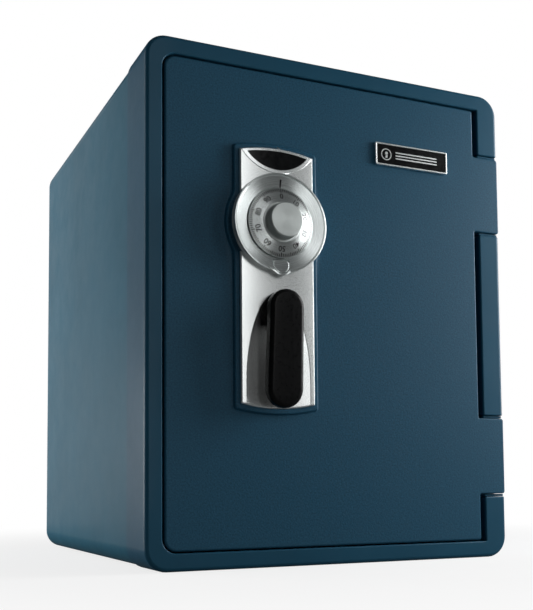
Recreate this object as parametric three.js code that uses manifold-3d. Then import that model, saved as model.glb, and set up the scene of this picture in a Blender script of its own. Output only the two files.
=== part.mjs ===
// A small fire-resistant safe with a dial combination lock and a lever handle.
// Millimetres, +Z up, the door faces -Y. The origin is the middle of the underside of the whole box.
import * as THREE from "three";
import { mergeVertices } from "three/addons/utils/BufferGeometryUtils.js";
import Module from "manifold-3d";

const wasm = await Module();
wasm.setup();

// ---- driving dimensions -------------------------------------------------------------------------
const WIDTH = 362;
const HEIGHT = 455;
const DEPTH = 412; // door face to back, without the handle
const HANDLE_PROUD = 28;
// y of the door face, from which every depth below is measured
const FRONT = -(DEPTH + HANDLE_PROUD) / 2 + HANDLE_PROUD;
const CORNER = 19.5;

const FRAME_DEPTH = 56;
const FRAME_STEP = 2.5; // the jacket is this much smaller than the frame all round
const RECESS = { left: -166, right: 157.5, low: 15.3, high: 439.5, depth: 28, corner: 13 };
const PLUG_HOLE = { left: -155, right: 146, low: 28, high: 427, corner: 10 };

const DOOR = { left: -163.5, right: 152, low: 17.3, high: 437, corner: 10.5, thick: 24, wall: 3 };
const PAN = { left: -149, right: 140, low: 34, high: 421, corner: 8, wall: 2.5, back: 50 };
const PANEL_THICK = 2.5;
const EARS = [
  { low: 60.6, high: 133.4 },
  { low: 316.9, high: 391.6 },
];
const EAR_GAP = 3.3;
const HINGE = { x: 169, depth: 12, pin: 4, bush: 7, grip: 18 };

const JACKET_WALL = 3;
const CAVITY = { half: 131, low: 50, high: 405, depth: 357.5, wall: 2.5 };
const RUNNER = { top: 231, height: 6, width: 8, from: 110, to: 350 };
const STRIKE = { low: 70, high: 385, thick: 1.5, from: 31, to: 49, screws: [137, 317], screw: 2.4 };
const FIT = 0.3; // gap left between pieces that touch

const LOCK_X = -62.9;
const DIAL_Z = 298.8;
const LEVER_Z = 223;
const BOSS_PROUD = 3.2;
const SEAT = BOSS_PROUD + FIT; // how far in front of the door face the lock plate starts
const PLATE = { half: 35.3, low: 140.6, high: 363.2, arch: 4, edge: 6.3, middle: 7.7 };
const RING = { outer: 43.9, rim: 41.6, inner: 31.4, pocket: 5.3, bevel: 11.9, proud: 14.6, lip: 0.5 };
const DISC = { radius: 30.8, back: 6.2, proud: 11.2 };
const KNOB = { base: 15.4, face: 14.5, proud: 25.6, skirt: 19.6 };
const KEY = { below: 36.8, tab: 10, cover: 7.6, flat: 4.2, thick: 1.3, barrel: 4.6, plug: 3.4 };
const KEY_Z = DIAL_Z - KEY.below;
const BEVEL_TILT = -Math.atan((RING.proud - RING.lip - RING.bevel) / (RING.rim - RING.inner));
const SPINDLE = 3.2;
const LEVER_SPINDLE = 5.5;
const HUB = { radius: 14.5, front: 15.4 };
const SCOOP = { half: 30.8, spring: 160, rise: 85, floor: 4.5 };

const MECHANISM = 32; // depth of the door plate's back face, which carries the lock case and bolt work
const BOLTS = { z: [95, 180, 275, 360], radius: 6.5, depth: 40, tip: -148.8, root: -132.3 };
const THROW = 12;
const LEVER_SWING = THREE.MathUtils.degToRad(80);
const CAM_PIN = THROW / 2 / Math.sin(LEVER_SWING / 2);
const YOKE = { depth0: 36.6, depth1: 39.6, low: 206, high: 222, slotHalf: 3.2 };
const CASE = { half: 34, low: 271.2, high: 346, back: 48, wall: 2 };
const WHEELS = { radius: 25, thick: 2.5, post: 5, depths: [35, 38.5, 42] };
const FENCE = { pivotX: LOCK_X + 25, pivotZ: 334, nose: DIAL_Z + WHEELS.radius + 1, depth0: 35, depth1: 44.5 };

// ---- materials ----------------------------------------------------------------------------------
const paint = (color, roughness, metalness = 0) =>
  new THREE.MeshStandardMaterial({ color, roughness, metalness });
const MATERIALS = {
  shell: paint(0x2a4a60, 0.35),
  door: paint(0x24415a, 0.5),
  insulation: paint(0xb9b4a8, 0.9),
  liner: paint(0x2b2d30, 0.6),
  rubber: paint(0x141414, 0.8),
  steel: paint(0xb8bcc0, 0.35, 1),
  satin: paint(0xc9ccce, 0.28, 1),
  black: paint(0x0b0c0d, 0.3),
  brass: paint(0xb08d4a, 0.35, 1),
  nylon: paint(0xe8e6de, 0.5),
};

// ---- shapes and solids --------------------------------------------------------------------------
// Outlines are drawn in the x-z plane as seen from the front, or in x-y for what is extruded upwards.
function roundedRect(left, low, right, high, radii) {
  const [bl, br, tr, tl] = Array.isArray(radii) ? radii : [radii, radii, radii, radii];
  const corner = (shape, x, z, r, from) =>
    r ? shape.absarc(x, z, r, from, from + Math.PI / 2) : shape.lineTo(x, z);
  const shape = new THREE.Shape();
  shape.moveTo(left + bl, low);
  corner(shape, right - br, low + br, br, -Math.PI / 2);
  corner(shape, right - tr, high - tr, tr, 0);
  corner(shape, left + tl, high - tl, tl, Math.PI / 2);
  corner(shape, left + bl, low + bl, bl, Math.PI);
  return shape;
}

// Continues a shape along the arc from its current point through `mid` to `end`.
function arcThrough(shape, start, mid, end) {
  const chord = end.clone().sub(start);
  const half = chord.length() / 2;
  const centreOfChord = start.clone().add(end).multiplyScalar(0.5);
  const rise = mid.clone().sub(centreOfChord);
  const sagitta = rise.length();
  const radius = (half * half + sagitta * sagitta) / (2 * sagitta);
  const centre = centreOfChord.clone().add(rise.clone().setLength(sagitta - radius));
  const angle = (p) => Math.atan2(p.y - centre.y, p.x - centre.x);
  const clockwise = chord.cross(rise) > 0;
  shape.absarc(centre.x, centre.y, radius, angle(start), angle(end), clockwise);
}

const point = (x, z) => new THREE.Vector2(x, z);

// A lens between two arcs that meet at two tips.
function lens(centreX, half, tipZ, topZ, bottomZ) {
  const left = point(centreX - half, tipZ);
  const right = point(centreX + half, tipZ);
  const shape = new THREE.Shape();
  shape.moveTo(left.x, left.y);
  arcThrough(shape, left, point(centreX, bottomZ), right);
  arcThrough(shape, right, point(centreX, topZ), left);
  return shape;
}

function solid(geometry) {
  const bare = geometry.clone();
  bare.deleteAttribute("normal");
  bare.deleteAttribute("uv");
  const merged = mergeVertices(bare, 1e-4);
  return new wasm.Manifold(
    new wasm.Mesh({
      numProp: 3,
      vertProperties: new Float32Array(merged.attributes.position.array),
      triVerts: new Uint32Array(merged.index.array),
    }),
  );
}

const cut = (body, ...tools) => tools.reduce((left, tool) => left.subtract(tool), body);
const join = (...bodies) => bodies.reduce((left, right) => left.add(right));

function box(x0, x1, d0, d1, z0, z1) {
  const geometry = new THREE.BoxGeometry(x1 - x0, d1 - d0, z1 - z0);
  geometry.translate((x0 + x1) / 2, FRONT + (d0 + d1) / 2, (z0 + z1) / 2);
  return solid(geometry);
}

// An x-z outline from depth d0 to depth d1.
function slab(shape, d0, d1, curveSegments = 2) {
  const geometry = new THREE.ExtrudeGeometry(shape, {
    depth: d1 - d0,
    bevelEnabled: false,
    curveSegments,
  });
  geometry.rotateX(Math.PI / 2);
  geometry.translate(0, FRONT + d1, 0);
  return solid(geometry);
}

// A depth-z outline, given as points, from x0 to x1.
function rib(points, x0, x1) {
  const shape = new THREE.Shape(points.map(([depth, z]) => point(FRONT + depth, z)));
  const geometry = new THREE.ExtrudeGeometry(shape, { depth: x1 - x0, bevelEnabled: false });
  geometry.rotateX(Math.PI / 2);
  geometry.rotateZ(Math.PI / 2);
  return solid(geometry.translate(x0, 0, 0));
}

function rod(axis, radius, centre, from, to, segments = 24, endRadius = radius) {
  const geometry = new THREE.CylinderGeometry(endRadius, radius, to - from, segments);
  geometry.translate(0, (from + to) / 2, 0);
  if (axis === "x") geometry.rotateZ(-Math.PI / 2).translate(0, centre[0], centre[1]);
  if (axis === "y") geometry.translate(centre[0], FRONT, centre[1]);
  if (axis === "z") geometry.rotateX(Math.PI / 2).translate(centre[0], centre[1], 0);
  return solid(geometry);
}

// Front-facing rod at x, z between two depths.
const pegAt = (x, z, radius, d0, d1, segments = 24) => rod("y", radius, [x, z], d0, d1, segments);

const safe = new THREE.Group();

function add(name, body, material) {
  const { numProp, vertProperties, triVerts, numVert } = body.getMesh();
  const positions = new Float32Array(numVert * 3);
  for (let i = 0; i < numVert; i++) {
    positions.set(vertProperties.subarray(i * numProp, i * numProp + 3), i * 3);
  }
  const geometry = new THREE.BufferGeometry();
  geometry.setAttribute("position", new THREE.BufferAttribute(positions, 3));
  geometry.setIndex(new THREE.BufferAttribute(triVerts, 1));
  geometry.computeVertexNormals();
  const mesh = new THREE.Mesh(geometry, MATERIALS[material]);
  mesh.name = name;
  safe.add(mesh);
}

const hingeY = FRONT + HINGE.depth;
const hingeRod = (radius, z0, z1) => rod("z", radius, [HINGE.x, hingeY], z0, z1, 20);

// ---- the box ------------------------------------------------------------------------------------
function frontFrame() {
  const outline = roundedRect(-WIDTH / 2, 0, WIDTH / 2, HEIGHT, CORNER);
  const { left, right, low, high, corner } = RECESS;
  const recess = roundedRect(left, low, right, high, [corner, 0, 0, corner]);
  const hole = roundedRect(
    PLUG_HOLE.left, PLUG_HOLE.low, PLUG_HOLE.right, PLUG_HOLE.high, PLUG_HOLE.corner,
  );
  const notches = EARS.map((ear) =>
    box(right - 0.1, WIDTH, -1, RECESS.depth, ear.low - EAR_GAP, ear.high + EAR_GAP),
  );
  const pinHoles = EARS.map((ear) =>
    hingeRod(HINGE.pin + FIT, ear.low - EAR_GAP - HINGE.grip, ear.high + EAR_GAP + HINGE.grip),
  );
  const pockets = BOLTS.z.map((z) =>
    rod("x", BOLTS.radius + 2, [FRONT + BOLTS.depth, z], PLUG_HOLE.left - 13, PLUG_HOLE.left + 1, 16),
  );
  const screwHoles = STRIKE.screws.map((z) =>
    rod("x", STRIKE.screw + FIT, [FRONT + BOLTS.depth, z], PLUG_HOLE.left - 9, PLUG_HOLE.left + 1, 10),
  );
  return cut(
    slab(outline, 0, FRAME_DEPTH, 4),
    slab(recess, -1, RECESS.depth),
    slab(hole, RECESS.depth - 1, FRAME_DEPTH + 1),
    ...notches, ...pinHoles, ...pockets, ...screwHoles,
  );
}

const jacketOutline = (inset) =>
  roundedRect(
    -WIDTH / 2 + FRAME_STEP + inset, FRAME_STEP + inset,
    WIDTH / 2 - FRAME_STEP - inset, HEIGHT - FRAME_STEP - inset,
    CORNER - FRAME_STEP - inset,
  );

const jacket = () =>
  cut(
    slab(jacketOutline(0), FRAME_DEPTH + FIT, DEPTH, 4),
    slab(jacketOutline(JACKET_WALL), FRAME_DEPTH, DEPTH - JACKET_WALL, 3),
  );

const cavityBox = (grow, d0, d1) =>
  box(
    -CAVITY.half - grow, CAVITY.half + grow, d0, d1, CAVITY.low - grow, CAVITY.high + grow,
  );

const LINER_FLANGE = FRAME_DEPTH + FIT + CAVITY.wall;

const bodyInsulation = () =>
  cut(
    slab(jacketOutline(JACKET_WALL + FIT), LINER_FLANGE + FIT, DEPTH - JACKET_WALL - FIT),
    cavityBox(CAVITY.wall + FIT, FRAME_DEPTH, CAVITY.depth + CAVITY.wall + FIT),
  );

function innerLiner() {
  const flange = roundedRect(-165, 16, 165, 439, 10);
  const runners = [-1, 1].map((side) => {
    const edges = [side * (CAVITY.half - RUNNER.width), side * (CAVITY.half + 1)].sort((a, b) => a - b);
    return box(edges[0], edges[1], RUNNER.from, RUNNER.to, RUNNER.top - RUNNER.height, RUNNER.top);
  });
  const shell = cut(
    join(
      slab(flange, FRAME_DEPTH + FIT, LINER_FLANGE),
      cavityBox(CAVITY.wall, LINER_FLANGE - 1, CAVITY.depth + CAVITY.wall),
    ),
    cavityBox(0, FRAME_DEPTH - 1, CAVITY.depth),
  );
  return join(shell, ...runners);
}

function shelf() {
  const half = CAVITY.half - 1.5;
  const low = RUNNER.top + FIT;
  const inside = half - RUNNER.width;
  return join(
    box(-half, half, RUNNER.from, RUNNER.to - 10, low, low + 5),
    box(-inside, inside, RUNNER.from, RUNNER.from + 4, low - 10, low + 2),
  );
}

function strikePlate() {
  const x = PLUG_HOLE.left + FIT;
  const holes = BOLTS.z.map((z) =>
    rod("x", BOLTS.radius + 1, [FRONT + BOLTS.depth, z], x - 1, x + STRIKE.thick + 1, 16),
  );
  const screwHoles = STRIKE.screws.map((z) =>
    rod("x", STRIKE.screw + FIT, [FRONT + BOLTS.depth, z], x - 1, x + STRIKE.thick + 1, 10),
  );
  const blank = box(x, x + STRIKE.thick, STRIKE.from, STRIKE.to, STRIKE.low, STRIKE.high);
  return cut(blank, ...holes, ...screwHoles);
}

function buildBox() {
  add("front_frame", frontFrame(), "shell");
  add("body_jacket", jacket(), "shell");
  add("body_insulation", bodyInsulation(), "insulation");
  add("inner_liner", innerLiner(), "liner");
  add("shelf", shelf(), "liner");
  add("strike_plate", strikePlate(), "steel");
  const strikeX = PLUG_HOLE.left + FIT + STRIKE.thick;
  STRIKE.screws.forEach((z, i) => {
    const screw = rod("x", STRIKE.screw, [FRONT + BOLTS.depth, z], PLUG_HOLE.left - 8, strikeX, 10);
    add(["strike_screw_lower", "strike_screw_upper"][i], screw, "steel");
  });
  for (const [side, x] of [["left", -145], ["right", 145]]) {
    add(`rear_foot_${side}`, rod("z", 12, [x, FRONT + 380], 0, FRAME_STEP - FIT, 16), "rubber");
  }
  EARS.forEach((ear, i) => {
    const pin = hingeRod(HINGE.pin, ear.low - EAR_GAP - HINGE.grip + 1, ear.high + EAR_GAP + HINGE.grip - 1);
    add(["hinge_pin_lower", "hinge_pin_upper"][i], pin, "steel");
  });
}

// ---- the door -----------------------------------------------------------------------------------
// The lock plate's outline, grown by `grow`, with its arched top and bottom edges.
function plateOutline(grow) {
  const left = LOCK_X - PLATE.half - grow;
  const right = LOCK_X + PLATE.half + grow;
  const low = PLATE.low - grow;
  const high = PLATE.high + grow;
  const shape = new THREE.Shape();
  shape.moveTo(left, low);
  arcThrough(shape, point(left, low), point(LOCK_X, low - PLATE.arch), point(right, low));
  shape.lineTo(right, high);
  arcThrough(shape, point(right, high), point(LOCK_X, high + PLATE.arch), point(left, high));
  return shape;
}

// Depth-wise holes through everything that the spindles and the key barrel pass.
const lockBores = (d0, d1) => [
  pegAt(LOCK_X, DIAL_Z, SPINDLE + 1.3, d0, d1, 16),
  pegAt(LOCK_X, LEVER_Z, LEVER_SPINDLE + 0.7, d0, d1, 16),
];
const barrelBore = (d0, d1) => pegAt(LOCK_X, KEY_Z, KEY.barrel + FIT, d0, d1, 16);

// The ear's plan: square at the front corner, rounded about the hinge pin at the back.
function ear({ low, high }) {
  const shape = new THREE.Shape();
  const reach = WIDTH / 2;
  const root = DOOR.right - 2;
  const chamfer = 2.5;
  shape.moveTo(root, FRONT);
  shape.lineTo(reach - chamfer, FRONT);
  shape.lineTo(reach, FRONT + chamfer);
  shape.lineTo(reach, hingeY);
  shape.absarc(HINGE.x, hingeY, reach - HINGE.x, 0, Math.PI / 2);
  shape.lineTo(root, hingeY + reach - HINGE.x);
  const settings = { depth: high - low, bevelEnabled: false, curveSegments: 3 };
  const geometry = new THREE.ExtrudeGeometry(shape, settings);
  return cut(solid(geometry.translate(0, 0, low)), hingeRod(HINGE.bush + FIT, low - 1, high + 1));
}

function doorSkin() {
  const { left, right, low, high, corner, thick, wall } = DOOR;
  const outline = roundedRect(left, low, right, high, [corner, 1.5, 1.5, corner]);
  const hollow = roundedRect(left + wall, low + wall, right - wall, high - wall, corner - wall);
  const shell = cut(slab(outline, 0, thick), slab(hollow, wall, thick + 1));
  const boss = join(
    slab(plateOutline(4.5), -BOSS_PROUD, 1),
    pegAt(LOCK_X, DIAL_Z, RING.outer + 3.4, -BOSS_PROUD, 1, 44),
  );
  const fins = EARS.map(ear);
  return cut(join(shell, boss, ...fins), ...lockBores(-5, wall + 1), barrelBore(-5, wall + 1));
}

function doorInsulation() {
  const { left, right, low, high, corner, thick, wall } = DOOR;
  const inset = wall + FIT;
  const front = roundedRect(left + inset, low + inset, right - inset, high - inset, corner - inset);
  const side = PAN.wall + FIT;
  const back = roundedRect(
    PAN.left + side, PAN.low + side, PAN.right - side, PAN.high - side, PAN.corner - side,
  );
  return cut(
    join(slab(front, inset, thick), slab(back, thick - 1, MECHANISM - 2 - FIT)),
    ...lockBores(0, MECHANISM),
    barrelBore(0, MECHANISM),
  );
}

const PAN_POSTS = [
  ["lower_left", PAN.left + 9, PAN.low + 9],
  ["lower_right", PAN.right - 9, PAN.low + 9],
  ["upper_left", PAN.left + 9, PAN.high - 9],
  ["upper_right", PAN.right - 9, PAN.high - 9],
];
const SCREW = { shank: 1.6, head: 3.6, hole: 1.9 };
const FLANGE_THICK = 1.5;
const PANEL_FACE = PAN.back + FIT + PANEL_THICK;

// The tray that wraps the door's inner step, with a flange that carries the seal and a post in each corner.
function doorPan() {
  const { left, right, low, high, corner, wall, back } = PAN;
  const flange = roundedRect(-161, 20, 149.5, 434.5, 9);
  const outer = roundedRect(left, low, right, high, corner);
  const inner = roundedRect(left + wall, low + wall, right - wall, high - wall, corner - wall);
  const front = DOOR.thick + FIT;
  const shell = cut(
    join(slab(flange, front, front + FLANGE_THICK), slab(outer, front, back)),
    slab(inner, front - 1, back + 1),
  );
  const posts = PAN_POSTS.map(([, x, z]) => pegAt(x, z, 7, MECHANISM + FIT, back, 14));
  const holes = PAN_POSTS.map(([, x, z]) => pegAt(x, z, SCREW.hole, MECHANISM + 4, back + 1, 8));
  const boltHoles = BOLTS.z.map((z) =>
    rod("x", BOLTS.radius + 0.8, [FRONT + BOLTS.depth, z], left - 1, left + wall + 1, 16),
  );
  return cut(join(shell, ...posts), ...holes, ...boltHoles);
}

function backPanel() {
  const outline = roundedRect(PAN.left, PAN.low, PAN.right, PAN.high, PAN.corner);
  const holes = PAN_POSTS.map(([, x, z]) => pegAt(x, z, SCREW.hole, PAN.back, PAN.back + 4, 8));
  return cut(slab(outline, PANEL_FACE - PANEL_THICK, PANEL_FACE), ...holes);
}

function seal() {
  const outer = roundedRect(-160, 21, 148.5, 433.5, 8);
  const inner = roundedRect(PAN.left - 1, PAN.low - 1, PAN.right + 1, PAN.high + 1, 8);
  const front = DOOR.thick + FLANGE_THICK + 2 * FIT;
  return cut(slab(outer, front, RECESS.depth - FIT), slab(inner, front - 1, RECESS.depth + 1));
}

function doorPlate() {
  const gap = PAN.wall + 0.5;
  const outline = roundedRect(PAN.left + gap, PAN.low + gap, PAN.right - gap, PAN.high - gap, 4);
  return cut(
    slab(outline, MECHANISM - 2, MECHANISM),
    ...lockBores(0, MECHANISM + 1),
    barrelBore(0, MECHANISM + 1),
  );
}

// A bar with six hooks for keys, on the inside of the door.
function keyRack() {
  const face = PANEL_FACE + FIT;
  const low = 345;
  const bar = slab(roundedRect(-60, low, 50, low + 14, 3), face, face + 3);
  const hooks = [0, 1, 2, 3, 4, 5].map((i) => {
    const x = -50 + i * 18;
    return join(
      pegAt(x, low + 7, 1.6, face + 2, face + 11, 6),
      rod("z", 1.6, [x, FRONT + face + 10], low + 6, low + 12, 6),
    );
  });
  return join(bar, ...hooks);
}

function badge() {
  const half = { x: 39.7, z: 10.7 };
  const centre = { x: 79.2, z: 379.3 };
  const outline = (inset, corner) =>
    roundedRect(
      centre.x - half.x + inset, centre.z - half.z + inset,
      centre.x + half.x - inset, centre.z + half.z - inset, corner,
    );
  const rim = 2.6;
  const frame = cut(slab(outline(0, 1.2), -3.3, -FIT), slab(outline(rim, 0.6), -5, -1.3));
  add("badge_frame", frame, "satin");
  add("badge_face", slab(outline(rim + FIT, 0.6), -2.8, -1.3 - FIT), "black");
}

function buildDoor() {
  add("door_skin", doorSkin(), "door");
  add("door_insulation", doorInsulation(), "insulation");
  add("door_pan", doorPan(), "liner");
  add("door_seal", seal(), "rubber");
  add("door_plate", doorPlate(), "steel");
  add("door_back_panel", backPanel(), "liner");
  add("key_rack", keyRack(), "liner");
  const face = PANEL_FACE + FIT;
  for (const [corner, x, z] of PAN_POSTS) {
    const screw = join(
      pegAt(x, z, SCREW.shank, PAN.back - 8, face + 1, 8),
      pegAt(x, z, SCREW.head, face, face + 1.4, 14),
    );
    add(`panel_screw_${corner}`, screw, "steel");
  }
  EARS.forEach(({ low, high }, i) => {
    const bush = cut(hingeRod(HINGE.bush, low, high), hingeRod(HINGE.pin + 0.3, low - 1, high + 1));
    add(["hinge_bush_lower", "hinge_bush_upper"][i], bush, "nylon");
  });
  badge();
}

// ---- lock plate, dial and key lock --------------------------------------------------------------
// The hollow behind the lever: an arch that is open at the bottom.
function scoopOutline() {
  const shape = new THREE.Shape();
  shape.moveTo(LOCK_X - SCOOP.half, PLATE.low - 20);
  shape.lineTo(LOCK_X + SCOOP.half, PLATE.low - 20);
  shape.lineTo(LOCK_X + SCOOP.half, SCOOP.spring);
  shape.absellipse(LOCK_X, SCOOP.spring, SCOOP.half, SCOOP.rise, 0, Math.PI);
  return shape;
}

const windowOuter = (grow) => lens(LOCK_X, 31.8 + grow, 361.4, 365.6 + grow, 344.7 - grow);
const windowInner = (grow) => lens(LOCK_X, 28.2 + grow, 361, 363.9 + grow, 347.6 - grow);

// Plan of the lock plate: a flat back and a front that bulges in the middle.
function plateBulge() {
  const shape = new THREE.Shape();
  const left = point(LOCK_X - PLATE.half - 1, FRONT - PLATE.edge);
  const right = point(LOCK_X + PLATE.half + 1, FRONT - PLATE.edge);
  shape.moveTo(right.x, FRONT - SEAT);
  shape.lineTo(left.x, FRONT - SEAT);
  shape.lineTo(left.x, left.y);
  arcThrough(shape, left, point(LOCK_X, FRONT - PLATE.middle), right);
  const settings = { depth: 250, bevelEnabled: false, curveSegments: 4 };
  return solid(new THREE.ExtrudeGeometry(shape, settings).translate(0, 0, 125));
}

function lockPlate() {
  return cut(
    slab(plateOutline(0), -20, 0, 4).intersect(plateBulge()),
    slab(windowOuter(FIT), -20, 0, 5),
    slab(scoopOutline(), -20, -SCOOP.floor, 6),
    pegAt(LOCK_X, DIAL_Z, RING.outer + 0.4, -20, -RING.pocket, 44),
    pegAt(LOCK_X, KEY_Z, KEY.tab + 0.4, -20, -RING.pocket, 28),
    ...lockBores(-20, 0),
    barrelBore(-20, 0),
  );
}

// A prism along the bevel's own normal, centred on the key lock: `d0` and `d1` run outwards from the bevel.
function onBevel(shape, d0, d1, curveSegments = 4) {
  const settings = { depth: d1 - d0, bevelEnabled: false, curveSegments };
  const geometry = new THREE.ExtrudeGeometry(shape, settings);
  geometry.rotateX(Math.PI / 2);
  geometry.translate(0, -d0, 0);
  geometry.rotateX(BEVEL_TILT);
  const out = RING.bevel + (RING.inner - KEY.below) * Math.tan(BEVEL_TILT);
  return solid(geometry.translate(LOCK_X, FRONT - out, KEY_Z));
}

// A disc whose top half is squared off, as the key lock's cover.
function coverOutline(radius, flat) {
  const corner = 1.8;
  const shape = new THREE.Shape();
  shape.absarc(0, 0, radius, Math.PI, 2 * Math.PI);
  shape.absarc(radius - corner, flat - corner, corner, 0, Math.PI / 2);
  shape.absarc(corner - radius, flat - corner, corner, Math.PI / 2, Math.PI);
  return shape;
}

function dialRing() {
  const profile = [
    [RING.inner, SEAT],
    [RING.outer - 0.6, SEAT],
    [RING.outer, SEAT + 0.6],
    [RING.outer, RING.proud - 0.7],
    [RING.outer - 0.7, RING.proud],
    [RING.rim + 0.4, RING.proud],
    [RING.rim, RING.proud - RING.lip],
    [RING.inner, RING.bevel],
    [RING.inner, SEAT],
  ].map(([r, out]) => point(r, -out));
  const lathe = new THREE.LatheGeometry(profile.reverse(), 48);
  const ring = solid(lathe.translate(LOCK_X, FRONT, DIAL_Z));
  const floor = RING.pocket + FIT;
  const tab = cut(
    pegAt(LOCK_X, KEY_Z, KEY.tab, -RING.proud - 2, -floor, 28),
    onBevel(roundedRect(-30, -30, 30, 30, 0), 0, 12),
  );
  return cut(
    join(cut(ring, slab(plateOutline(0.4), -floor, 0, 4)), tab),
    pegAt(LOCK_X, DIAL_Z, RING.inner, -20, 0, 48),
    onBevel(coverOutline(KEY.cover + 0.4, KEY.flat + 0.7), -KEY.thick - 0.7, 3),
    pegAt(LOCK_X, KEY_Z, KEY.barrel + FIT, -20, 0, 16),
  );
}

function buildLockFace() {
  add("lock_plate", lockPlate(), "satin");
  const trim = cut(slab(windowOuter(0), -8.2, -SEAT, 5), slab(windowInner(FIT), -20, 0, 5));
  add("window_trim", trim, "satin");
  add("window_insert", slab(windowInner(0), -7, -SEAT, 5), "black");
  add("dial_ring", dialRing(), "satin");
  add("key_cover", onBevel(coverOutline(KEY.cover, KEY.flat), -KEY.thick, 0), "satin");
  const barrel = cut(
    pegAt(LOCK_X, KEY_Z, KEY.barrel, -9.2, MECHANISM + 1.6, 20),
    pegAt(LOCK_X, KEY_Z, KEY.plug + FIT, -11, MECHANISM + 2, 20),
  );
  add("key_barrel", barrel, "steel");
  const keyway = box(LOCK_X - 0.7, LOCK_X + 0.7, -11, -2, KEY_Z - 2.4, KEY_Z + 2.4);
  add("key_plug", cut(pegAt(LOCK_X, KEY_Z, KEY.plug, -9, MECHANISM + 2, 20), keyway), "brass");
  const cam = join(
    pegAt(LOCK_X, KEY_Z, KEY.barrel, MECHANISM + 2 + FIT, MECHANISM + 4.5, 20),
    box(LOCK_X, LOCK_X + 15, MECHANISM + 2 + FIT, MECHANISM + 4.5, KEY_Z - 3.5, KEY_Z + 3.5),
  );
  add("key_cam", cam, "steel");
}

function buildDial() {
  add("dial_disc", pegAt(LOCK_X, DIAL_Z, DISC.radius, -DISC.proud, -DISC.back, 48), "satin");
  const skirt = DISC.proud + FIT;
  const knob = join(
    rod("y", KNOB.face, [LOCK_X, DIAL_Z], -KNOB.proud, -skirt, 36, KNOB.base),
    pegAt(LOCK_X, DIAL_Z, KNOB.skirt, -skirt - 0.8, -skirt, 36),
  );
  add("dial_knob", knob, "satin");
  const spindle = pegAt(LOCK_X, DIAL_Z, SPINDLE, FIT - DISC.back, WHEELS.depths[2] - FIT, 16);
  add("dial_spindle", spindle, "steel");
}

// ---- lock case, wheels and fence ----------------------------------------------------------------
function wheel(depth, bored) {
  const disc = pegAt(LOCK_X, DIAL_Z, WHEELS.radius, depth, depth + WHEELS.thick, 32);
  const gate = box(
    LOCK_X - 14, LOCK_X - 10, depth - 1, depth + WHEELS.thick + 1,
    DIAL_Z - WHEELS.radius - 1, DIAL_Z - WHEELS.radius + 7,
  );
  const bore = pegAt(LOCK_X, DIAL_Z, WHEELS.post + 0.3, depth - 1, depth + WHEELS.thick + 1, 16);
  return bored ? cut(disc, gate, bore) : cut(disc, gate);
}

const CASE_FLOOR = MECHANISM + 1.8;

function lockCase() {
  const { half, low, high, back, wall } = CASE;
  const outline = (inset) =>
    roundedRect(LOCK_X - half + inset, low + inset, LOCK_X + half - inset, high - inset, 5 - inset);
  return cut(
    slab(outline(0), MECHANISM + FIT, back),
    slab(outline(wall), CASE_FLOOR, back + 1),
    pegAt(LOCK_X, DIAL_Z, SPINDLE + 1.3, MECHANISM - 1, MECHANISM + 3, 16),
  );
}

function fenceLever() {
  const { pivotX, pivotZ, nose, depth0, depth1 } = FENCE;
  const shape = new THREE.Shape();
  shape.moveTo(pivotX + 4, pivotZ - 3);
  shape.lineTo(pivotX + 4, pivotZ + 3);
  shape.lineTo(LOCK_X - 4, pivotZ + 2);
  shape.lineTo(LOCK_X - 4, nose);
  shape.lineTo(LOCK_X, nose);
  shape.lineTo(LOCK_X + 2, pivotZ - 3);
  return cut(
    slab(shape, depth0, depth1),
    pegAt(pivotX, pivotZ, 2, depth0 - 1, depth1 + 1, 12),
  );
}

function buildLockCase() {
  const { half, low, high, back } = CASE;
  add("lock_case", lockCase(), "steel");
  const cover = roundedRect(LOCK_X - half, low, LOCK_X + half, high, 5);
  add("lock_case_cover", slab(cover, back + FIT, back + 1.6), "steel");
  const post = cut(
    pegAt(LOCK_X, DIAL_Z, WHEELS.post, CASE_FLOOR + FIT, WHEELS.depths[2] - 0.4, 16),
    pegAt(LOCK_X, DIAL_Z, SPINDLE + 0.4, MECHANISM, WHEELS.depths[2] + 1, 16),
  );
  add("wheel_post", post, "brass");
  const [third, second, drive] = WHEELS.depths;
  add("combination_wheel_3", wheel(third, true), "brass");
  add("combination_wheel_2", wheel(second, true), "brass");
  add("drive_wheel", wheel(drive, false), "brass");
  add("fence_lever", fenceLever(), "steel");
  const fencePin = pegAt(FENCE.pivotX, FENCE.pivotZ, 1.7, CASE_FLOOR + FIT, back - FIT, 12);
  add("fence_pin", fencePin, "steel");
}

// ---- lever and bolt work ------------------------------------------------------------------------
function leverHandle() {
  const top = { z: LEVER_Z, half: 15.6 };
  const bottom = { z: 152.9, half: 16.4 };
  const shape = new THREE.Shape();
  shape.moveTo(LOCK_X - bottom.half, bottom.z);
  shape.absarc(LOCK_X, bottom.z, bottom.half, Math.PI, 2 * Math.PI);
  shape.absarc(LOCK_X, top.z, top.half, 0, Math.PI);
  const low = bottom.z - bottom.half - 1;
  const high = top.z + top.half + 1;
  // Side profile: the grip leans back towards the plate as it goes down, and thins out.
  const side = rib(
    [
      [-HANDLE_PROUD, high],
      [-HANDLE_PROUD, LEVER_Z - 5],
      [-22, low],
      [-11.5, low],
      [-12.5, LEVER_Z - 38],
      [-HUB.front, LEVER_Z - HUB.radius - 1],
      [-HUB.front, high],
    ],
    LOCK_X - 30, LOCK_X + 30,
  );
  return slab(shape, -HANDLE_PROUD - 1, 0, 6).intersect(side);
}

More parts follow.
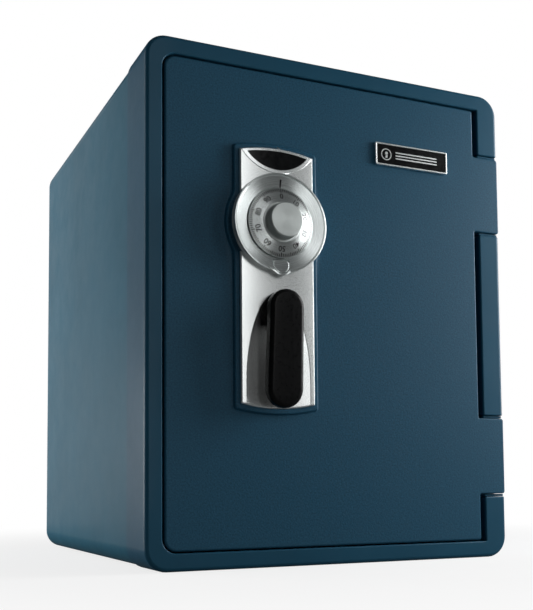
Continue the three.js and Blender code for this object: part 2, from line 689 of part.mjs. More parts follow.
function boltCarrier() {
  const foot = BOLTS.root + FIT;
  const arm = box(foot + 1, LOCK_X + 12, YOKE.depth0, YOKE.depth1, YOKE.low, YOKE.high);
  const flange = box(foot, foot + 3, 33, 47, 70, 385);
  const pinX = LOCK_X + THROW / 2;
  const slot = roundedRect(
    pinX - YOKE.slotHalf, LEVER_Z - 13.2, pinX + YOKE.slotHalf, LEVER_Z - 3.6, YOKE.slotHalf - 0.2,
  );
  return cut(join(arm, flange), slab(slot, YOKE.depth0 - 1, YOKE.depth1 + 1, 3));
}

function carrierGuide(x) {
  const clear = 0.6;
  return cut(
    box(x - 4, x + 4, MECHANISM + FIT, YOKE.depth1 + 3.5, YOKE.low - 6, YOKE.high + 6),
    box(x - 5, x + 5, YOKE.depth0 - clear, YOKE.depth1 + clear, YOKE.low - clear, YOKE.high + clear),
  );
}

function buildBoltWork() {
  add("lever_handle", leverHandle(), "black");
  const hub = pegAt(LOCK_X, LEVER_Z, HUB.radius, FIT - HUB.front, -SCOOP.floor - FIT, 28);
  add("lever_hub", hub, "black");
  const camFront = MECHANISM + 0.8;
  const spindle = pegAt(LOCK_X, LEVER_Z, LEVER_SPINDLE, -SCOOP.floor, camFront - FIT, 16);
  add("lever_spindle", spindle, "steel");
  add("lever_cam", pegAt(LOCK_X, LEVER_Z, 15, camFront, camFront + 2.8, 28), "steel");
  const start = -LEVER_SWING / 2;
  const pin = pegAt(
    LOCK_X - CAM_PIN * Math.sin(start), LEVER_Z - CAM_PIN * Math.cos(start), 2.5,
    camFront + 2.8 + FIT, YOKE.depth1 + 1.5, 14,
  );
  add("cam_pin", pin, "steel");
  add("bolt_carrier", boltCarrier(), "steel");
  BOLTS.z.forEach((z, i) => {
    const bolt = rod("x", BOLTS.radius, [FRONT + BOLTS.depth, z], BOLTS.tip, BOLTS.root, 20);
    add(`locking_bolt_${i + 1}`, bolt, "steel");
  });
  add("carrier_guide_outer", carrierGuide(-114), "nylon");
  add("carrier_guide_inner", carrierGuide(-90), "nylon");
}

buildBox();
buildDoor();
buildLockFace();
buildDial();
buildLockCase();
buildBoltWork();

export default safe;
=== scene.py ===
import math

import bmesh
import bpy
from mathutils import Matrix, Vector


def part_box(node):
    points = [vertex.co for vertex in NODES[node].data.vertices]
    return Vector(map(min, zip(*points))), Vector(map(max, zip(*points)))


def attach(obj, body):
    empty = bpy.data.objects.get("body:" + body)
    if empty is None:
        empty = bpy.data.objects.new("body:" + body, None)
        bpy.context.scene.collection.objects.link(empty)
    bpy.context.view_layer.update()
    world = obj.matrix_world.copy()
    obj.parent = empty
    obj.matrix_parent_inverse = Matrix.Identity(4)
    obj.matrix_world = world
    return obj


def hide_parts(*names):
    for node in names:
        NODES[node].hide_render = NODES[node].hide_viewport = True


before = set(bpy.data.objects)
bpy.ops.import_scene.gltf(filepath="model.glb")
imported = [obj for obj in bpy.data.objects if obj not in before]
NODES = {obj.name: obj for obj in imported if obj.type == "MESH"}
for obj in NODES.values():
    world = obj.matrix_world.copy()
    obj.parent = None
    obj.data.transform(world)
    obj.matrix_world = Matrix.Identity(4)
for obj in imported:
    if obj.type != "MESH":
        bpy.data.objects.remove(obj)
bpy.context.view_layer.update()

MM = 0.001

# ---- where things are, from the CAD nodes, in millimetres ----
# A place is (x, depth, z): depth runs inwards from the door face, so what stands proud is negative.
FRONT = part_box("front_frame")[0].y / MM


def span(node):
    """((x0, depth0, z0), (x1, depth1, z1)) of a CAD node, in millimetres."""
    low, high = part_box(node)
    return (
        (low.x / MM, low.y / MM - FRONT, low.z / MM),
        (high.x / MM, high.y / MM - FRONT, high.z / MM),
    )


def middle(node):
    low, high = span(node)
    return tuple((a + b) / 2 for a, b in zip(low, high))


BODY_X, _, BODY_Z = span("front_frame")[1]
FRAME_DEPTH = span("front_frame")[1][1]
JACKET = span("body_jacket")
LOCK_X, _, DIAL_Z = middle("dial_disc")
LEVER_Z = middle("lever_hub")[2]
KEY_Z = middle("key_plug")[2]
# the door reaches about 0.7 mm past the CAD's at its left, top and bottom, for the gap seen in the photo
DOOR = {"left": -164.2, "right": 152.0, "low": 16.6, "high": 437.8, "thick": 24.0}
RECESS = {"left": -166.0, "right": 157.5, "low": 15.3, "high": 439.5, "depth": 28.0}
PLUG_HOLE = (-155.0, 28.0, 146.0, 427.0)
EARS = [(span(n)[0][2], span(n)[1][2]) for n in ("hinge_bush_lower", "hinge_bush_upper")]
EAR_GAP = 2.9
HINGE_X, HINGE_DEPTH, _ = middle("hinge_pin_lower")
CORNER = 19.5
BOSS = 3.2
POCKET = 11.0
PLATE_LOW, PLATE_HIGH = span("lock_plate")[0], span("lock_plate")[1]
PLATE_HALF = (PLATE_HIGH[0] - PLATE_LOW[0]) / 2
ARCH = 4.0


# ---- outlines: lists of (x, z), anticlockwise as seen from the front ----
def wrapped(angle):
    """The same angle, between -pi and pi."""
    return (angle + math.pi) % (2 * math.pi) - math.pi


def arc(x, z, radius, start, sweep, steps):
    """Points round (x, z) from the angle start through sweep, both ends included."""
    angles = [start + sweep * k / steps for k in range(steps + 1)]
    return [(x + radius * math.cos(a), z + radius * math.sin(a)) for a in angles]


def quarter(steps):
    """(inwards, down) pairs round an edge of radius 1, from its side wall to its top face."""
    angles = [math.pi / 2 * k / steps for k in range(steps + 1)]
    return [(1 - math.cos(a), 1 - math.sin(a)) for a in angles]


def rounded(corners, steps=7):
    """A polygon of (x, z, radius) corners with each corner rounded, convex or concave."""
    out = []
    for i, (x, z, radius) in enumerate(corners):
        here = Vector((x, z))
        back = (Vector(corners[i - 1][:2]) - here).normalized()
        on = (Vector(corners[(i + 1) % len(corners)][:2]) - here).normalized()
        angle = back.angle(on)
        if radius <= 0 or abs(angle - math.pi) < 1e-3:
            out.append((x, z))
            continue
        centre = here + (back + on).normalized() * (radius / math.sin(angle / 2))
        reach = radius / math.tan(angle / 2)
        start, end = here + back * reach - centre, here + on * reach - centre
        a0 = math.atan2(start.y, start.x)
        turn = wrapped(math.atan2(end.y, end.x) - a0)
        out += arc(centre.x, centre.y, radius, a0, turn, steps)
    return out


def rect(x0, z0, x1, z1, radius, steps=7):
    radii = radius if isinstance(radius, (list, tuple)) else [radius] * 4
    corners = [(x0, z0), (x1, z0), (x1, z1), (x0, z1)]
    return rounded([(x, z, r) for (x, z), r in zip(corners, radii)], steps)


def shrunk(corners, distances):
    """The corners with each side moved inwards by its own distance; side i starts at corner i."""
    out = []
    count = len(corners)
    for i, (x, z, radius) in enumerate(corners):
        here = Vector((x, z))
        along0 = (here - Vector(corners[i - 1][:2])).normalized()
        along1 = (Vector(corners[(i + 1) % count][:2]) - here).normalized()
        d0, d1 = distances[i - 1], distances[i]
        turn = along0.x * along1.y - along0.y * along1.x
        n0, n1 = Vector((-along0.y, along0.x)), Vector((-along1.y, along1.x))
        if abs(turn) < 1e-4:
            moved = here + n1 * d1
        else:
            start = here + n0 * d0
            gap = (here + n1 * d1) - start
            moved = start + along0 * ((gap.x * along1.y - gap.y * along1.x) / turn)
        size = radius - (d0 + d1) / 2 if turn > 0 else radius + (d0 + d1) / 2
        out.append((moved.x, moved.y, max(0.08, size)))
    return out


def circle(x, z, radius, steps):
    turn = 2 * math.pi / steps
    return [(x + radius * math.cos(turn * i), z + radius * math.sin(turn * i)) for i in range(steps)]


def inset(points, distance):
    """The outline moved inwards along its normals."""
    out = []
    count = len(points)
    for i, (x, z) in enumerate(points):
        px, pz = points[i - 1]
        qx, qz = points[(i + 1) % count]
        a = Vector((px, pz)) - Vector((x, z))
        b = Vector((qx, qz)) - Vector((x, z))
        n0 = Vector((a.y, -a.x)).normalized()
        n1 = Vector((-b.y, b.x)).normalized()
        normal = n0 + n1
        if normal.length < 1e-6:
            normal = n1
        normal.normalize()
        move = distance * (1 / max(0.5, normal.dot(n1)))
        out.append((x + normal.x * move, z + normal.y * move))
    return out


def arc_through(start, mid, end, steps):
    """Points on the arc from start through mid to end, both ends included."""
    (x0, z0), (x1, z1), (x2, z2) = start, mid, end
    d = 2 * (x0 * (z1 - z2) + x1 * (z2 - z0) + x2 * (z0 - z1))
    s0, s1, s2 = (x * x + z * z for x, z in (start, mid, end))
    cx = (s0 * (z1 - z2) + s1 * (z2 - z0) + s2 * (z0 - z1)) / d
    cz = (s0 * (x2 - x1) + s1 * (x0 - x2) + s2 * (x1 - x0)) / d
    radius = math.hypot(x0 - cx, z0 - cz)
    a0, am, a1 = (math.atan2(z - cz, x - cx) for x, z in (start, mid, end))
    return arc(cx, cz, radius, a0, wrapped(am - a0) + wrapped(a1 - am), steps)


# ---- mesh building ----
def at(x, depth, z):
    return Vector((x * MM, (FRONT + depth) * MM, z * MM))


class Builder:
    """Collects loops of vertices and the faces between them."""

    def __init__(self):
        self.bm = bmesh.new()

    def loop(self, points):
        return [self.bm.verts.new(at(*p)) for p in points]

    def flat(self, outline, depth):
        return self.loop([(x, depth, z) for x, z in outline])

    def level(self, outline, z):
        """A loop at one height, from an outline of (x, depth)."""
        return self.loop([(x, depth, z) for x, depth in outline])

    def upright(self, outline, x):
        """A loop at one x, from an outline of (depth, z)."""
        return self.loop([(x, depth, z) for depth, z in outline])

    def bridge(self, a, b, closed=True):
        count = len(a)
        for i in range(count if closed else count - 1):
            j = (i + 1) % count
            self.bm.faces.new((a[i], a[j], b[j], b[i]))

    def chain(self, loops, closed=True):
        for a, b in zip(loops, loops[1:]):
            self.bridge(a, b, closed)
        return loops

    def cap(self, *loops):
        for loop in loops:
            self.bm.faces.new(loop)

    def solid(self, loops):
        """Walls between the loops, with the first and last one capped."""
        self.chain(loops)
        self.cap(loops[0], loops[-1])

    def hoop(self, loops):
        """Walls between the loops, and from the last one back to the first."""
        self.chain(loops)
        self.bridge(loops[-1], loops[0])

    def ring(self, outer, inner):
        """Fills the flat area between two loops that have different numbers of points."""
        edges = []
        for loop in (outer, inner):
            for a, b in zip(loop, loop[1:] + loop[:1]):
                edges.append(self.bm.edges.get((a, b)) or self.bm.edges.new((a, b)))
        bmesh.ops.triangle_fill(self.bm, use_beauty=True, use_dissolve=False, edges=edges)

    def edged(self, sides, radius, back, steps=5, turns=7):
        """A slab's side wall and rounded front edge. Sides are (x, z, corner, share of rounding)."""
        corners = [side[:3] for side in sides]
        weights = [side[3] for side in sides]
        loops = [self.flat(rounded(corners, turns), back)]
        count = len(corners)
        share = []
        for i in range(count):
            w0, w1 = weights[i - 1], weights[i]
            share += [w0 + (w1 - w0) * k / turns for k in range(turns + 1)]
        for inwards, down in quarter(steps):
            outline = rounded(shrunk(corners, [w * radius * inwards for w in weights]), turns)
            loops.append(self.loop([(x, w * (radius * down), z) for (x, z), w in zip(outline, share)]))
        return self.chain(loops)

    def pillow(self, outline, back, top, radius, steps):
        """A slab from depth `back` forward to depth `top`, rounded along its front edge."""
        loops = [self.flat(outline, back)]
        for inwards, down in quarter(steps):
            loops.append(self.flat(inset(outline, radius * inwards), top + radius * down))
        self.solid(loops)

    def lathe(self, profile, centre, steps, closed=False, shift=None):
        """Turns (radius, depth) points about the depth axis through centre = (x, z)."""
        rings = []
        for index, (radius, depth) in enumerate(profile):
            points = []
            for k in range(steps):
                a = 2 * math.pi * k / steps
                r, d = shift(index, radius, depth, a) if shift else (radius, depth)
                points.append((centre[0] + r * math.cos(a), d, centre[1] + r * math.sin(a)))
            rings.append(self.loop(points))
        if closed:
            self.hoop(rings)
        else:
            self.solid(rings)


def make(name, bm, body, material, replaces=(), sharp=32.0, weighted=True):
    """Turns a bmesh into an object that rides on a body; an edge that turns past `sharp` degrees is sharp."""
    bmesh.ops.recalc_face_normals(bm, faces=bm.faces)
    limit = math.radians(sharp)
    for face in bm.faces:
        face.smooth = True
    for edge in bm.edges:
        edge.smooth = len(edge.link_faces) == 2 and edge.calc_face_angle(0) < limit
    mesh = bpy.data.meshes.new(name)
    bm.to_mesh(mesh)
    bm.free()
    piece = bpy.data.objects.new(name, mesh)
    bpy.context.scene.collection.objects.link(piece)
    mesh.materials.append(material)
    if weighted:
        modifier = piece.modifiers.new("even_normals", "WEIGHTED_NORMAL")
        modifier.keep_sharp = True
    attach(piece, body)
    if replaces:
        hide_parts(*replaces)
    return piece


def thicken(piece, depth_mm):
    """Gives a thin sheet a real thickness, inwards."""
    solid = piece.modifiers.new("thickness", "SOLIDIFY")
    solid.thickness, solid.offset = depth_mm * MM, -1.0


def cut_from(bm, cutter):
    """The exact difference of two closed bmeshes, as a new bmesh."""
    objects = []
    for source in (bm, cutter):
        bmesh.ops.recalc_face_normals(source, faces=source.faces)
        mesh = bpy.data.meshes.new("cutting")
        source.to_mesh(mesh)
        source.free()
        objects.append(bpy.data.objects.new("cutting", mesh))
        bpy.context.scene.collection.objects.link(objects[-1])
    body, tool = objects
    modifier = body.modifiers.new("cut", "BOOLEAN")
    modifier.operation, modifier.solver, modifier.object = "DIFFERENCE", "EXACT", tool
    bpy.context.view_layer.update()
    done = bpy.data.meshes.new_from_object(body.evaluated_get(bpy.context.evaluated_depsgraph_get()))
    result = bmesh.new()
    result.from_mesh(done)
    for used in objects:
        mesh = used.data
        bpy.data.objects.remove(used)
        bpy.data.meshes.remove(mesh)
    bpy.data.meshes.remove(done)
    return result


# ---- materials ----
class Nodes:
    """A node tree that starts from one Principled shader. A source is a node and the name of its output."""

    def __init__(self, name, **sockets):
        self.material = bpy.data.materials.new(name)
        self.material.use_nodes = True
        self.tree = self.material.node_tree
        self.tree.nodes.clear()
        self.out = self.node("ShaderNodeOutputMaterial")
        self.bsdf = self.node("ShaderNodeBsdfPrincipled")
        self.link(self.bsdf, "BSDF", self.out, "Surface")
        for key, value in sockets.items():
            socket = self.bsdf.inputs[key.replace("_", " ")]
            socket.default_value = (*value, 1.0) if isinstance(value, tuple) and len(value) == 3 else value
        self.place = None
        self.bump = None

    def node(self, kind, **values):
        made = self.tree.nodes.new(kind)
        for key, value in values.items():
            setattr(made, key, value)
        return made

    def link(self, a, out, b, into):
        self.tree.links.new(a.outputs[out], b.inputs[into])

    def coordinates(self, scale=(1, 1, 1)):
        if self.place is None:
            self.place = self.node("ShaderNodeTexCoord")
        if scale == (1, 1, 1):
            return self.place, "Object"
        mapping = self.node("ShaderNodeMapping")
        mapping.inputs["Scale"].default_value = scale
        self.link(self.place, "Object", mapping, "Vector")
        return mapping, "Vector"

    def noise(self, size_mm, detail, rough, stretch=(1, 1, 1)):
        texture = self.node("ShaderNodeTexNoise")
        texture.inputs["Scale"].default_value = 1000.0 / size_mm
        texture.inputs["Detail"].default_value = detail
        texture.inputs["Roughness"].default_value = rough
        self.link(*self.coordinates(stretch), texture, "Vector")
        return texture, "Fac"

    def voronoi(self, size_mm, feature="F1"):
        texture = self.node("ShaderNodeTexVoronoi", feature=feature)
        texture.inputs["Scale"].default_value = 1000.0 / size_mm
        self.link(*self.coordinates(), texture, "Vector")
        return texture, "Distance"

    def vector(self, operation, source, other=None):
        """A vector maths node fed by source; `other` is its constant second value."""
        maths = self.node("ShaderNodeVectorMath", operation=operation)
        self.link(*source, maths, 0)
        if other:
            maths.inputs[1].default_value = other
        return maths, "Value" if operation == "LENGTH" else "Vector"

    def spread(self, source, low, high, start=0.35, end=0.65):
        """Maps a texture's value from start..end to low..high."""
        mapped = self.node("ShaderNodeMapRange")
        for key, value in (("From Min", start), ("From Max", end), ("To Min", low), ("To Max", high)):
            mapped.inputs[key].default_value = value
        self.link(*source, mapped, "Value")
        return mapped

    def colour(self, source, low, high, start=0.3, end=0.7):
        """Runs the base colour from low to high as the source goes from start to end."""
        ramp = self.node("ShaderNodeValToRGB")
        for index, (position, value) in enumerate(((start, low), (end, high))):
            element = ramp.color_ramp.elements[index]
            element.position = position
            element.color = (*value, 1)
        self.link(*source, ramp, "Fac")
        self.link(ramp, "Color", self.bsdf, "Base Color")

    def roughness(self, source, low, high):
        self.link(self.spread(source, low, high), "Result", self.bsdf, "Roughness")

    def relief(self, source, strength, depth_mm):
        """Adds one layer of bump on top of those before it."""
        bump = self.node("ShaderNodeBump")
        bump.inputs["Strength"].default_value = strength
        bump.inputs["Distance"].default_value = depth_mm * MM
        self.link(*source, bump, "Height")
        if self.bump is not None:
            self.link(self.bump, "Normal", bump, "Normal")
        self.bump = bump
        for old in list(self.bsdf.inputs["Normal"].links):
            self.tree.links.remove(old)
        self.link(bump, "Normal", self.bsdf, "Normal")


def tint(colour, factor):
    return tuple(c * factor for c in colour)


SHELL = (0.0185, 0.11, 0.17)
FRAME_COLOUR = (0.0135, 0.078, 0.134)
DOOR_COLOUR = (0.0145, 0.079, 0.138)


def smooth_paint(name, colour, haze, coat, coat_roughness):
    """The smooth, slightly wavy paint of the frame and the jacket."""
    m = Nodes(name, Roughness=0.36, IOR=1.45, Specular_IOR_Level=haze, Coat_Weight=coat,
              Coat_Roughness=coat_roughness)
    broad = m.noise(95, 3, 0.55)
    m.colour(broad, tint(colour, 0.94), tint(colour, 1.06), 0.32, 0.68)
    m.roughness(m.noise(28, 4, 0.6), 0.33, 0.4)
    m.relief(m.noise(150, 1, 0.4), 0.1, 0.8)
    m.relief(m.noise(5.5, 2, 0.5), 0.14, 0.1)
    m.relief(m.noise(0.9, 2, 0.6), 0.1, 0.05)
    return m.material


def door_paint():
    m = Nodes("door_paint", Roughness=0.42, IOR=1.45, Specular_IOR_Level=0.2)
    fine = m.noise(1.5, 3, 0.65)
    m.colour(fine, tint(DOOR_COLOUR, 0.72), tint(DOOR_COLOUR, 1.3))
    m.roughness(m.noise(2.2, 3, 0.6), 0.34, 0.52)
    m.relief(m.noise(70, 1, 0.4), 0.15, 0.6)
    m.relief(m.noise(3.2, 3, 0.6), 0.3, 0.22)
    m.relief(m.voronoi(1.3, "SMOOTH_F1"), 0.35, 0.16)
    return m.material


def satin_metal():
    m = Nodes("satin_metal", Metallic=1.0, Roughness=0.27)
    grain = m.noise(0.3, 3, 0.7)
    m.roughness(grain, 0.26, 0.3)
    m.relief(grain, 0.02, 0.004)
    broad = m.noise(40, 2, 0.5)
    m.colour(broad, (0.87, 0.905, 0.9), (0.92, 0.95, 0.945))
    return m.material


def turned_metal(name, base, roughness, aniso):
    """Metal turned on a lathe: fine rings about the dial's axis, with the shine spread across them."""
    m = Nodes(name, Metallic=1.0, Roughness=roughness, Anisotropic=aniso)
    offset = m.vector("SUBTRACT", m.coordinates(), (LOCK_X * MM, 0, DIAL_Z * MM))
    outward = m.vector("MULTIPLY", offset, (1, 0, 1))
    rings = m.node("ShaderNodeTexNoise", noise_dimensions="1D")
    rings.inputs["Scale"].default_value = 4200.0
    rings.inputs["Detail"].default_value = 2.0
    m.link(*m.vector("LENGTH", outward), rings, "W")
    m.roughness((rings, "Fac"), roughness - 0.05, roughness + 0.07)
    m.relief((rings, "Fac"), 0.06, 0.02)
    m.relief(m.noise(0.6, 3, 0.6), 0.05, 0.01)
    m.colour(m.noise(9, 3, 0.6), tint(base, 0.95), tint(base, 1.04))
    m.link(*m.vector("NORMALIZE", outward), m.bsdf, "Tangent")
    return m.material


def grained_metal(name, base, roughness, stretch=(1, 1, 1)):
    m = Nodes(name, Metallic=1.0, Roughness=roughness)
    m.colour(m.noise(14, 4, 0.6), tint(base, 0.85), tint(base, 1.08))
    grain = m.noise(0.7, 3, 0.7, stretch)
    m.roughness(grain, roughness - 0.08, roughness + 0.12)
    m.relief(grain, 0.12, 0.03)
    return m.material


def moulded_plastic(name, base, roughness, grain_mm, relief):
    m = Nodes(name, Roughness=roughness, IOR=1.48)
    m.colour(m.noise(35, 4, 0.6), tint(base, 0.86), tint(base, 1.12))
    m.roughness(m.noise(6, 3, 0.6), roughness - 0.07, roughness + 0.08)
    m.relief(m.voronoi(grain_mm, "SMOOTH_F1"), relief, 0.12)
    m.relief(m.noise(0.4, 2, 0.6), 0.1, 0.03)
    return m.material


def gloss_black(name, roughness, relief, level):
    m = Nodes(name, Roughness=roughness, IOR=1.48, Specular_IOR_Level=level)
    m.colour(m.noise(8, 3, 0.6), (0.0026, 0.0029, 0.0033), (0.0036, 0.004, 0.0045))
    m.roughness(m.noise(3, 4, 0.65), roughness - 0.04, roughness + 0.06)
    m.relief(m.noise(1.1, 3, 0.6), relief, 0.02)
    return m.material


def ink():
    m = Nodes("ink", Roughness=0.5, Specular_IOR_Level=0.2)
    m.colour(m.noise(0.8, 2, 0.5), (0.004, 0.004, 0.0045), (0.011, 0.011, 0.012))
    m.relief(m.noise(0.3, 2, 0.5), 0.1, 0.01)
    return m.material


def rubber():
    m = Nodes("rubber", Roughness=0.75)
    m.colour(m.noise(10, 3, 0.6), (0.012, 0.012, 0.012), (0.024, 0.024, 0.023))
    m.relief(m.noise(0.7, 3, 0.6), 0.3, 0.08)
    return m.material


def mineral():
    m = Nodes("mineral", Roughness=0.92)
    m.colour(m.noise(4, 6, 0.7), (0.42, 0.40, 0.35), (0.62, 0.60, 0.54))
    m.relief(m.voronoi(1.8), 0.6, 0.5)
    m.relief(m.noise(0.8, 4, 0.7), 0.5, 0.3)
    return m.material


FLOOR_FADE = (0.22, 0.85)  # metres from the object's middle over which the floor turns white


def floor_paper():
    """Pale paper that turns into an even white sweep away from the object."""
    m = Nodes("floor_paper", Roughness=0.85)
    m.colour(m.noise(160, 3, 0.5), (0.86, 0.86, 0.86), (0.9, 0.9, 0.9))
    m.relief(m.noise(2.5, 3, 0.6), 0.08, 0.1)
    far = m.spread(m.vector("LENGTH", m.coordinates()), 0.78, 1.0, *FLOOR_FADE)
    far.interpolation_type = "SMOOTHSTEP"
    path = m.node("ShaderNodeLightPath")
    seen = m.node("ShaderNodeMath", operation="MULTIPLY")
    m.link(path, "Is Camera Ray", seen, 0)
    m.link(far, "Result", seen, 1)
    sweep = m.node("ShaderNodeEmission")
    sweep.inputs["Color"].default_value = (1, 1, 1, 1)
    sweep.inputs["Strength"].default_value = 1.0
    mix = m.node("ShaderNodeMixShader")
    m.link(seen, "Value", mix, "Fac")
    m.link(m.bsdf, "BSDF", mix, 1)
    m.link(sweep, "Emission", mix, 2)
    bounce = m.node("ShaderNodeBsdfDiffuse")
    bounce.inputs["Color"].default_value = (0.25, 0.25, 0.25, 1)
    kind = m.node("ShaderNodeMixShader")
    m.link(path, "Is Camera Ray", kind, "Fac")
    m.link(bounce, "BSDF", kind, 1)
    m.link(mix, "Shader", kind, 2)
    m.link(kind, "Shader", m.out, "Surface")
    return m.material


PAINT = smooth_paint("shell_paint", SHELL, 0.12, 0.08, 0.12)
FRAME_PAINT = smooth_paint("frame_paint", FRAME_COLOUR, 0.15, 0.06, 0.08)
DOOR_PAINT = door_paint()
SATIN = satin_metal()
RING_METAL = turned_metal("turned_ring", (0.74, 0.79, 0.785), 0.28, 0.75)
DISC_METAL = turned_metal("turned_disc", (0.73, 0.775, 0.77), 0.3, 0.9)
KNOB_METAL = turned_metal("turned_knob", (0.56, 0.6, 0.59), 0.42, 0.2)
BLACK = gloss_black("gloss_black", 0.18, 0.02, 0.3)
HANDLE_BLACK = gloss_black("handle_black", 0.3, 0.03, 0.16)
INK = ink()
STEEL = grained_metal("drawn_steel", (0.56, 0.57, 0.58), 0.34, (0.05, 1, 1))
STEEL_UPRIGHT = grained_metal("drawn_steel_upright", (0.56, 0.57, 0.58), 0.36, (1, 1, 0.05))
BRASS = grained_metal("machined_brass", (0.72, 0.52, 0.24), 0.3)
LINER = moulded_plastic("liner_plastic", (0.1, 0.105, 0.11), 0.5, 1.4, 0.3)
PANEL = moulded_plastic("panel_plastic", (0.085, 0.09, 0.095), 0.48, 1.2, 0.25)
NYLON = moulded_plastic("nylon", (0.74, 0.72, 0.66), 0.4, 0.8, 0.1)
DARK_NYLON = moulded_plastic("dark_nylon", (0.016, 0.018, 0.02), 0.45, 0.8, 0.1)
RUBBER = rubber()
MINERAL = mineral()

# ---- camera ----
CAMERA_PLACE = (-0.4116, -0.9664, 0.0708)
CAMERA_YAW, CAMERA_PITCH, CAMERA_ROLL = 0.44431035, 0.07149583, -0.01000476
CAMERA_LENS, CAMERA_SENSOR = 57.62, 36.0
CAMERA_SHIFT = (-0.05, 0.1803)


def make_camera():
    yaw, pitch, roll = CAMERA_YAW, CAMERA_PITCH, CAMERA_ROLL
    forward = Vector((math.sin(yaw) * math.cos(pitch), math.cos(yaw) * math.cos(pitch), math.sin(pitch)))
    level = Vector((math.cos(yaw), -math.sin(yaw), 0))
    above = level.cross(forward)
    right = level * math.cos(roll) + above * math.sin(roll)
    up = above * math.cos(roll) - level * math.sin(roll)
    data = bpy.data.cameras.new("camera")
    camera = bpy.data.objects.new("camera", data)
    bpy.context.scene.collection.objects.link(camera)
    data.sensor_fit, data.sensor_width, data.sensor_height = "AUTO", CAMERA_SENSOR, CAMERA_SENSOR
    data.lens = CAMERA_LENS
    data.shift_x, data.shift_y = CAMERA_SHIFT
    data.clip_start, data.clip_end = 0.02, 60.0
    turn = Matrix((right, up, -forward)).transposed().to_4x4()
    camera.matrix_world = Matrix.Translation(Vector(CAMERA_PLACE)) @ turn
    bpy.context.scene.camera = camera


make_camera()


# ---- body ----
def front_frame():
    b = Builder()
    low, high = RECESS["low"], RECESS["high"]
    left, right = RECESS["left"], RECESS["right"]
    (ear_a, ear_b), (ear_c, ear_d) = EARS
    soft, tight = 2.2, 2.0
    half, top = BODY_X, BODY_Z
    outside, inside, slot = 1.0, 0.36, 0.36
    around = [
        (-half, 0, CORNER, outside), (half, 0, CORNER, outside),
        (half, ear_a - EAR_GAP, soft, slot), (right, ear_a - EAR_GAP, tight, inside),
        (right, low, 1.0, inside), (left, low, 12.5, inside),
        (left, high, 12.5, inside), (right, high, 1.0, inside),
        (right, ear_d + EAR_GAP, tight, slot), (half, ear_d + EAR_GAP, soft, outside),
        (half, top, CORNER, outside), (-half, top, CORNER, outside),
    ]
    block = [
        (right, ear_b + EAR_GAP, tight, slot), (half, ear_b + EAR_GAP, soft, outside),
        (half, ear_c - EAR_GAP, soft, slot), (right, ear_c - EAR_GAP, tight, inside),
    ]
    for sides in (around, block):
        loops = b.edged(sides, 3.8, RECESS["depth"] + 0.05, 6, 9)
        b.cap(loops[0], loops[-1])
    outer = rect(-half, 0, half, top, CORNER, 9)
    x0, z0, x1, z1 = PLUG_HOLE
    hole = rect(x0, z0, x1, z1, 10, 6)
    outer_loops = b.chain([
        b.flat(outer, RECESS["depth"]), b.flat(outer, FRAME_DEPTH - 1.0),
        b.flat(inset(outer, 0.3), FRAME_DEPTH - 0.3), b.flat(inset(outer, 1.0), FRAME_DEPTH),
    ])
    hole_loops = b.chain([
        b.flat(inset(hole, -1.2), RECESS["depth"]), b.flat(inset(hole, -0.35), RECESS["depth"] + 0.35),
        b.flat(hole, RECESS["depth"] + 1.2), b.flat(hole, FRAME_DEPTH),
    ])
    b.ring(outer_loops[0], hole_loops[0])
    b.ring(outer_loops[-1], hole_loops[-1])
    bolt_pockets(b, hole_loops[2], hole_loops[3])
    make("frame_shell", b.bm, "box", FRAME_PAINT, ["front_frame"])


def bolt_pockets(b, near, far):
    """Swaps the flat jamb between two loops of the hole for one with four round pockets in it."""
    jamb_x = PLUG_HOLE[0]
    beside = set(near) | set(far)

    def is_jamb(face):
        heights = [v.co.z for v in face.verts]
        tall = max(heights) - min(heights) > 200 * MM
        return tall and set(face.verts) <= beside and face.calc_center_median().x < 0

    flat = [face for face in b.bm.faces if is_jamb(face)]
    edges = [e for f in flat for e in f.edges]
    bmesh.ops.delete(b.bm, geom=flat, context="FACES_ONLY")
    for i in range(1, 5):
        _, depth, z = middle(f"locking_bolt_{i}")
        rings = b.chain([
            b.upright(circle(depth, z, radius, 40), jamb_x - reach)
            for radius, reach in ((8.0, 0), (7.5, 0.5), (7.5, POCKET), (0.5, POCKET))
        ])
        b.cap(rings[-1])
        mouth = rings[0]
        edges += [b.bm.edges.get((p, q)) for p, q in zip(mouth, mouth[1:] + mouth[:1])]
    bmesh.ops.triangle_fill(b.bm, use_beauty=True, use_dissolve=False, edges=edges)


def hinge_bosses():
    """The frame's thin lands that fill the slots above and below each door ear, just below the surface."""
    b = Builder()
    play = 0.5
    for low, high in EARS:
        for z0, z1 in ((low - EAR_GAP + play / 2, low - play), (high + play, high + EAR_GAP - play / 2)):
            x0, x1, front, back = RECESS["right"] + 0.6, BODY_X - 0.6, 2.2, RECESS["depth"]
            rings = []
            for shrink, z in ((0.35, z0), (0, z0 + 0.35), (0, z1 - 0.35), (0.35, z1)):
                outline = rect(x0 + shrink, front + shrink, x1 - shrink, back, [1.5, 1.5, 0.1, 0.1], 5)
                rings.append(b.level(outline, z))
            b.solid(rings)
    make("hinge_bosses", b.bm, "box", FRAME_PAINT)


def jacket():
    """The rounded shell behind the front frame, a little smaller than it all round."""
    b = Builder()
    (x0, d0, z0), (x1, d1, z1) = JACKET
    grow, edge, wall = 1.3, 4.0, 2.0
    outer = rect(x0 - grow, z0 - grow, x1 + grow, z1 + grow, CORNER - 1.2, 9)
    inner = rect(x0 + wall, z0 + wall, x1 - wall, z1 - wall, CORNER - 2.5 - wall, 9)
    loops = [b.flat(inner, d1 - wall), b.flat(inner, d0), b.flat(inset(outer, 1.8), d0)]
    loops += [b.flat(inset(outer, 0.4), d0 + 0.3), b.flat(outer, d0 + 1.1), b.flat(outer, d1 - edge)]
    for inwards, down in quarter(6)[1:]:
        loops.append(b.flat(inset(outer, edge * inwards), d1 - edge * down))
    b.solid(loops)
    make("jacket_shell", b.bm, "box", PAINT, ["body_jacket"])


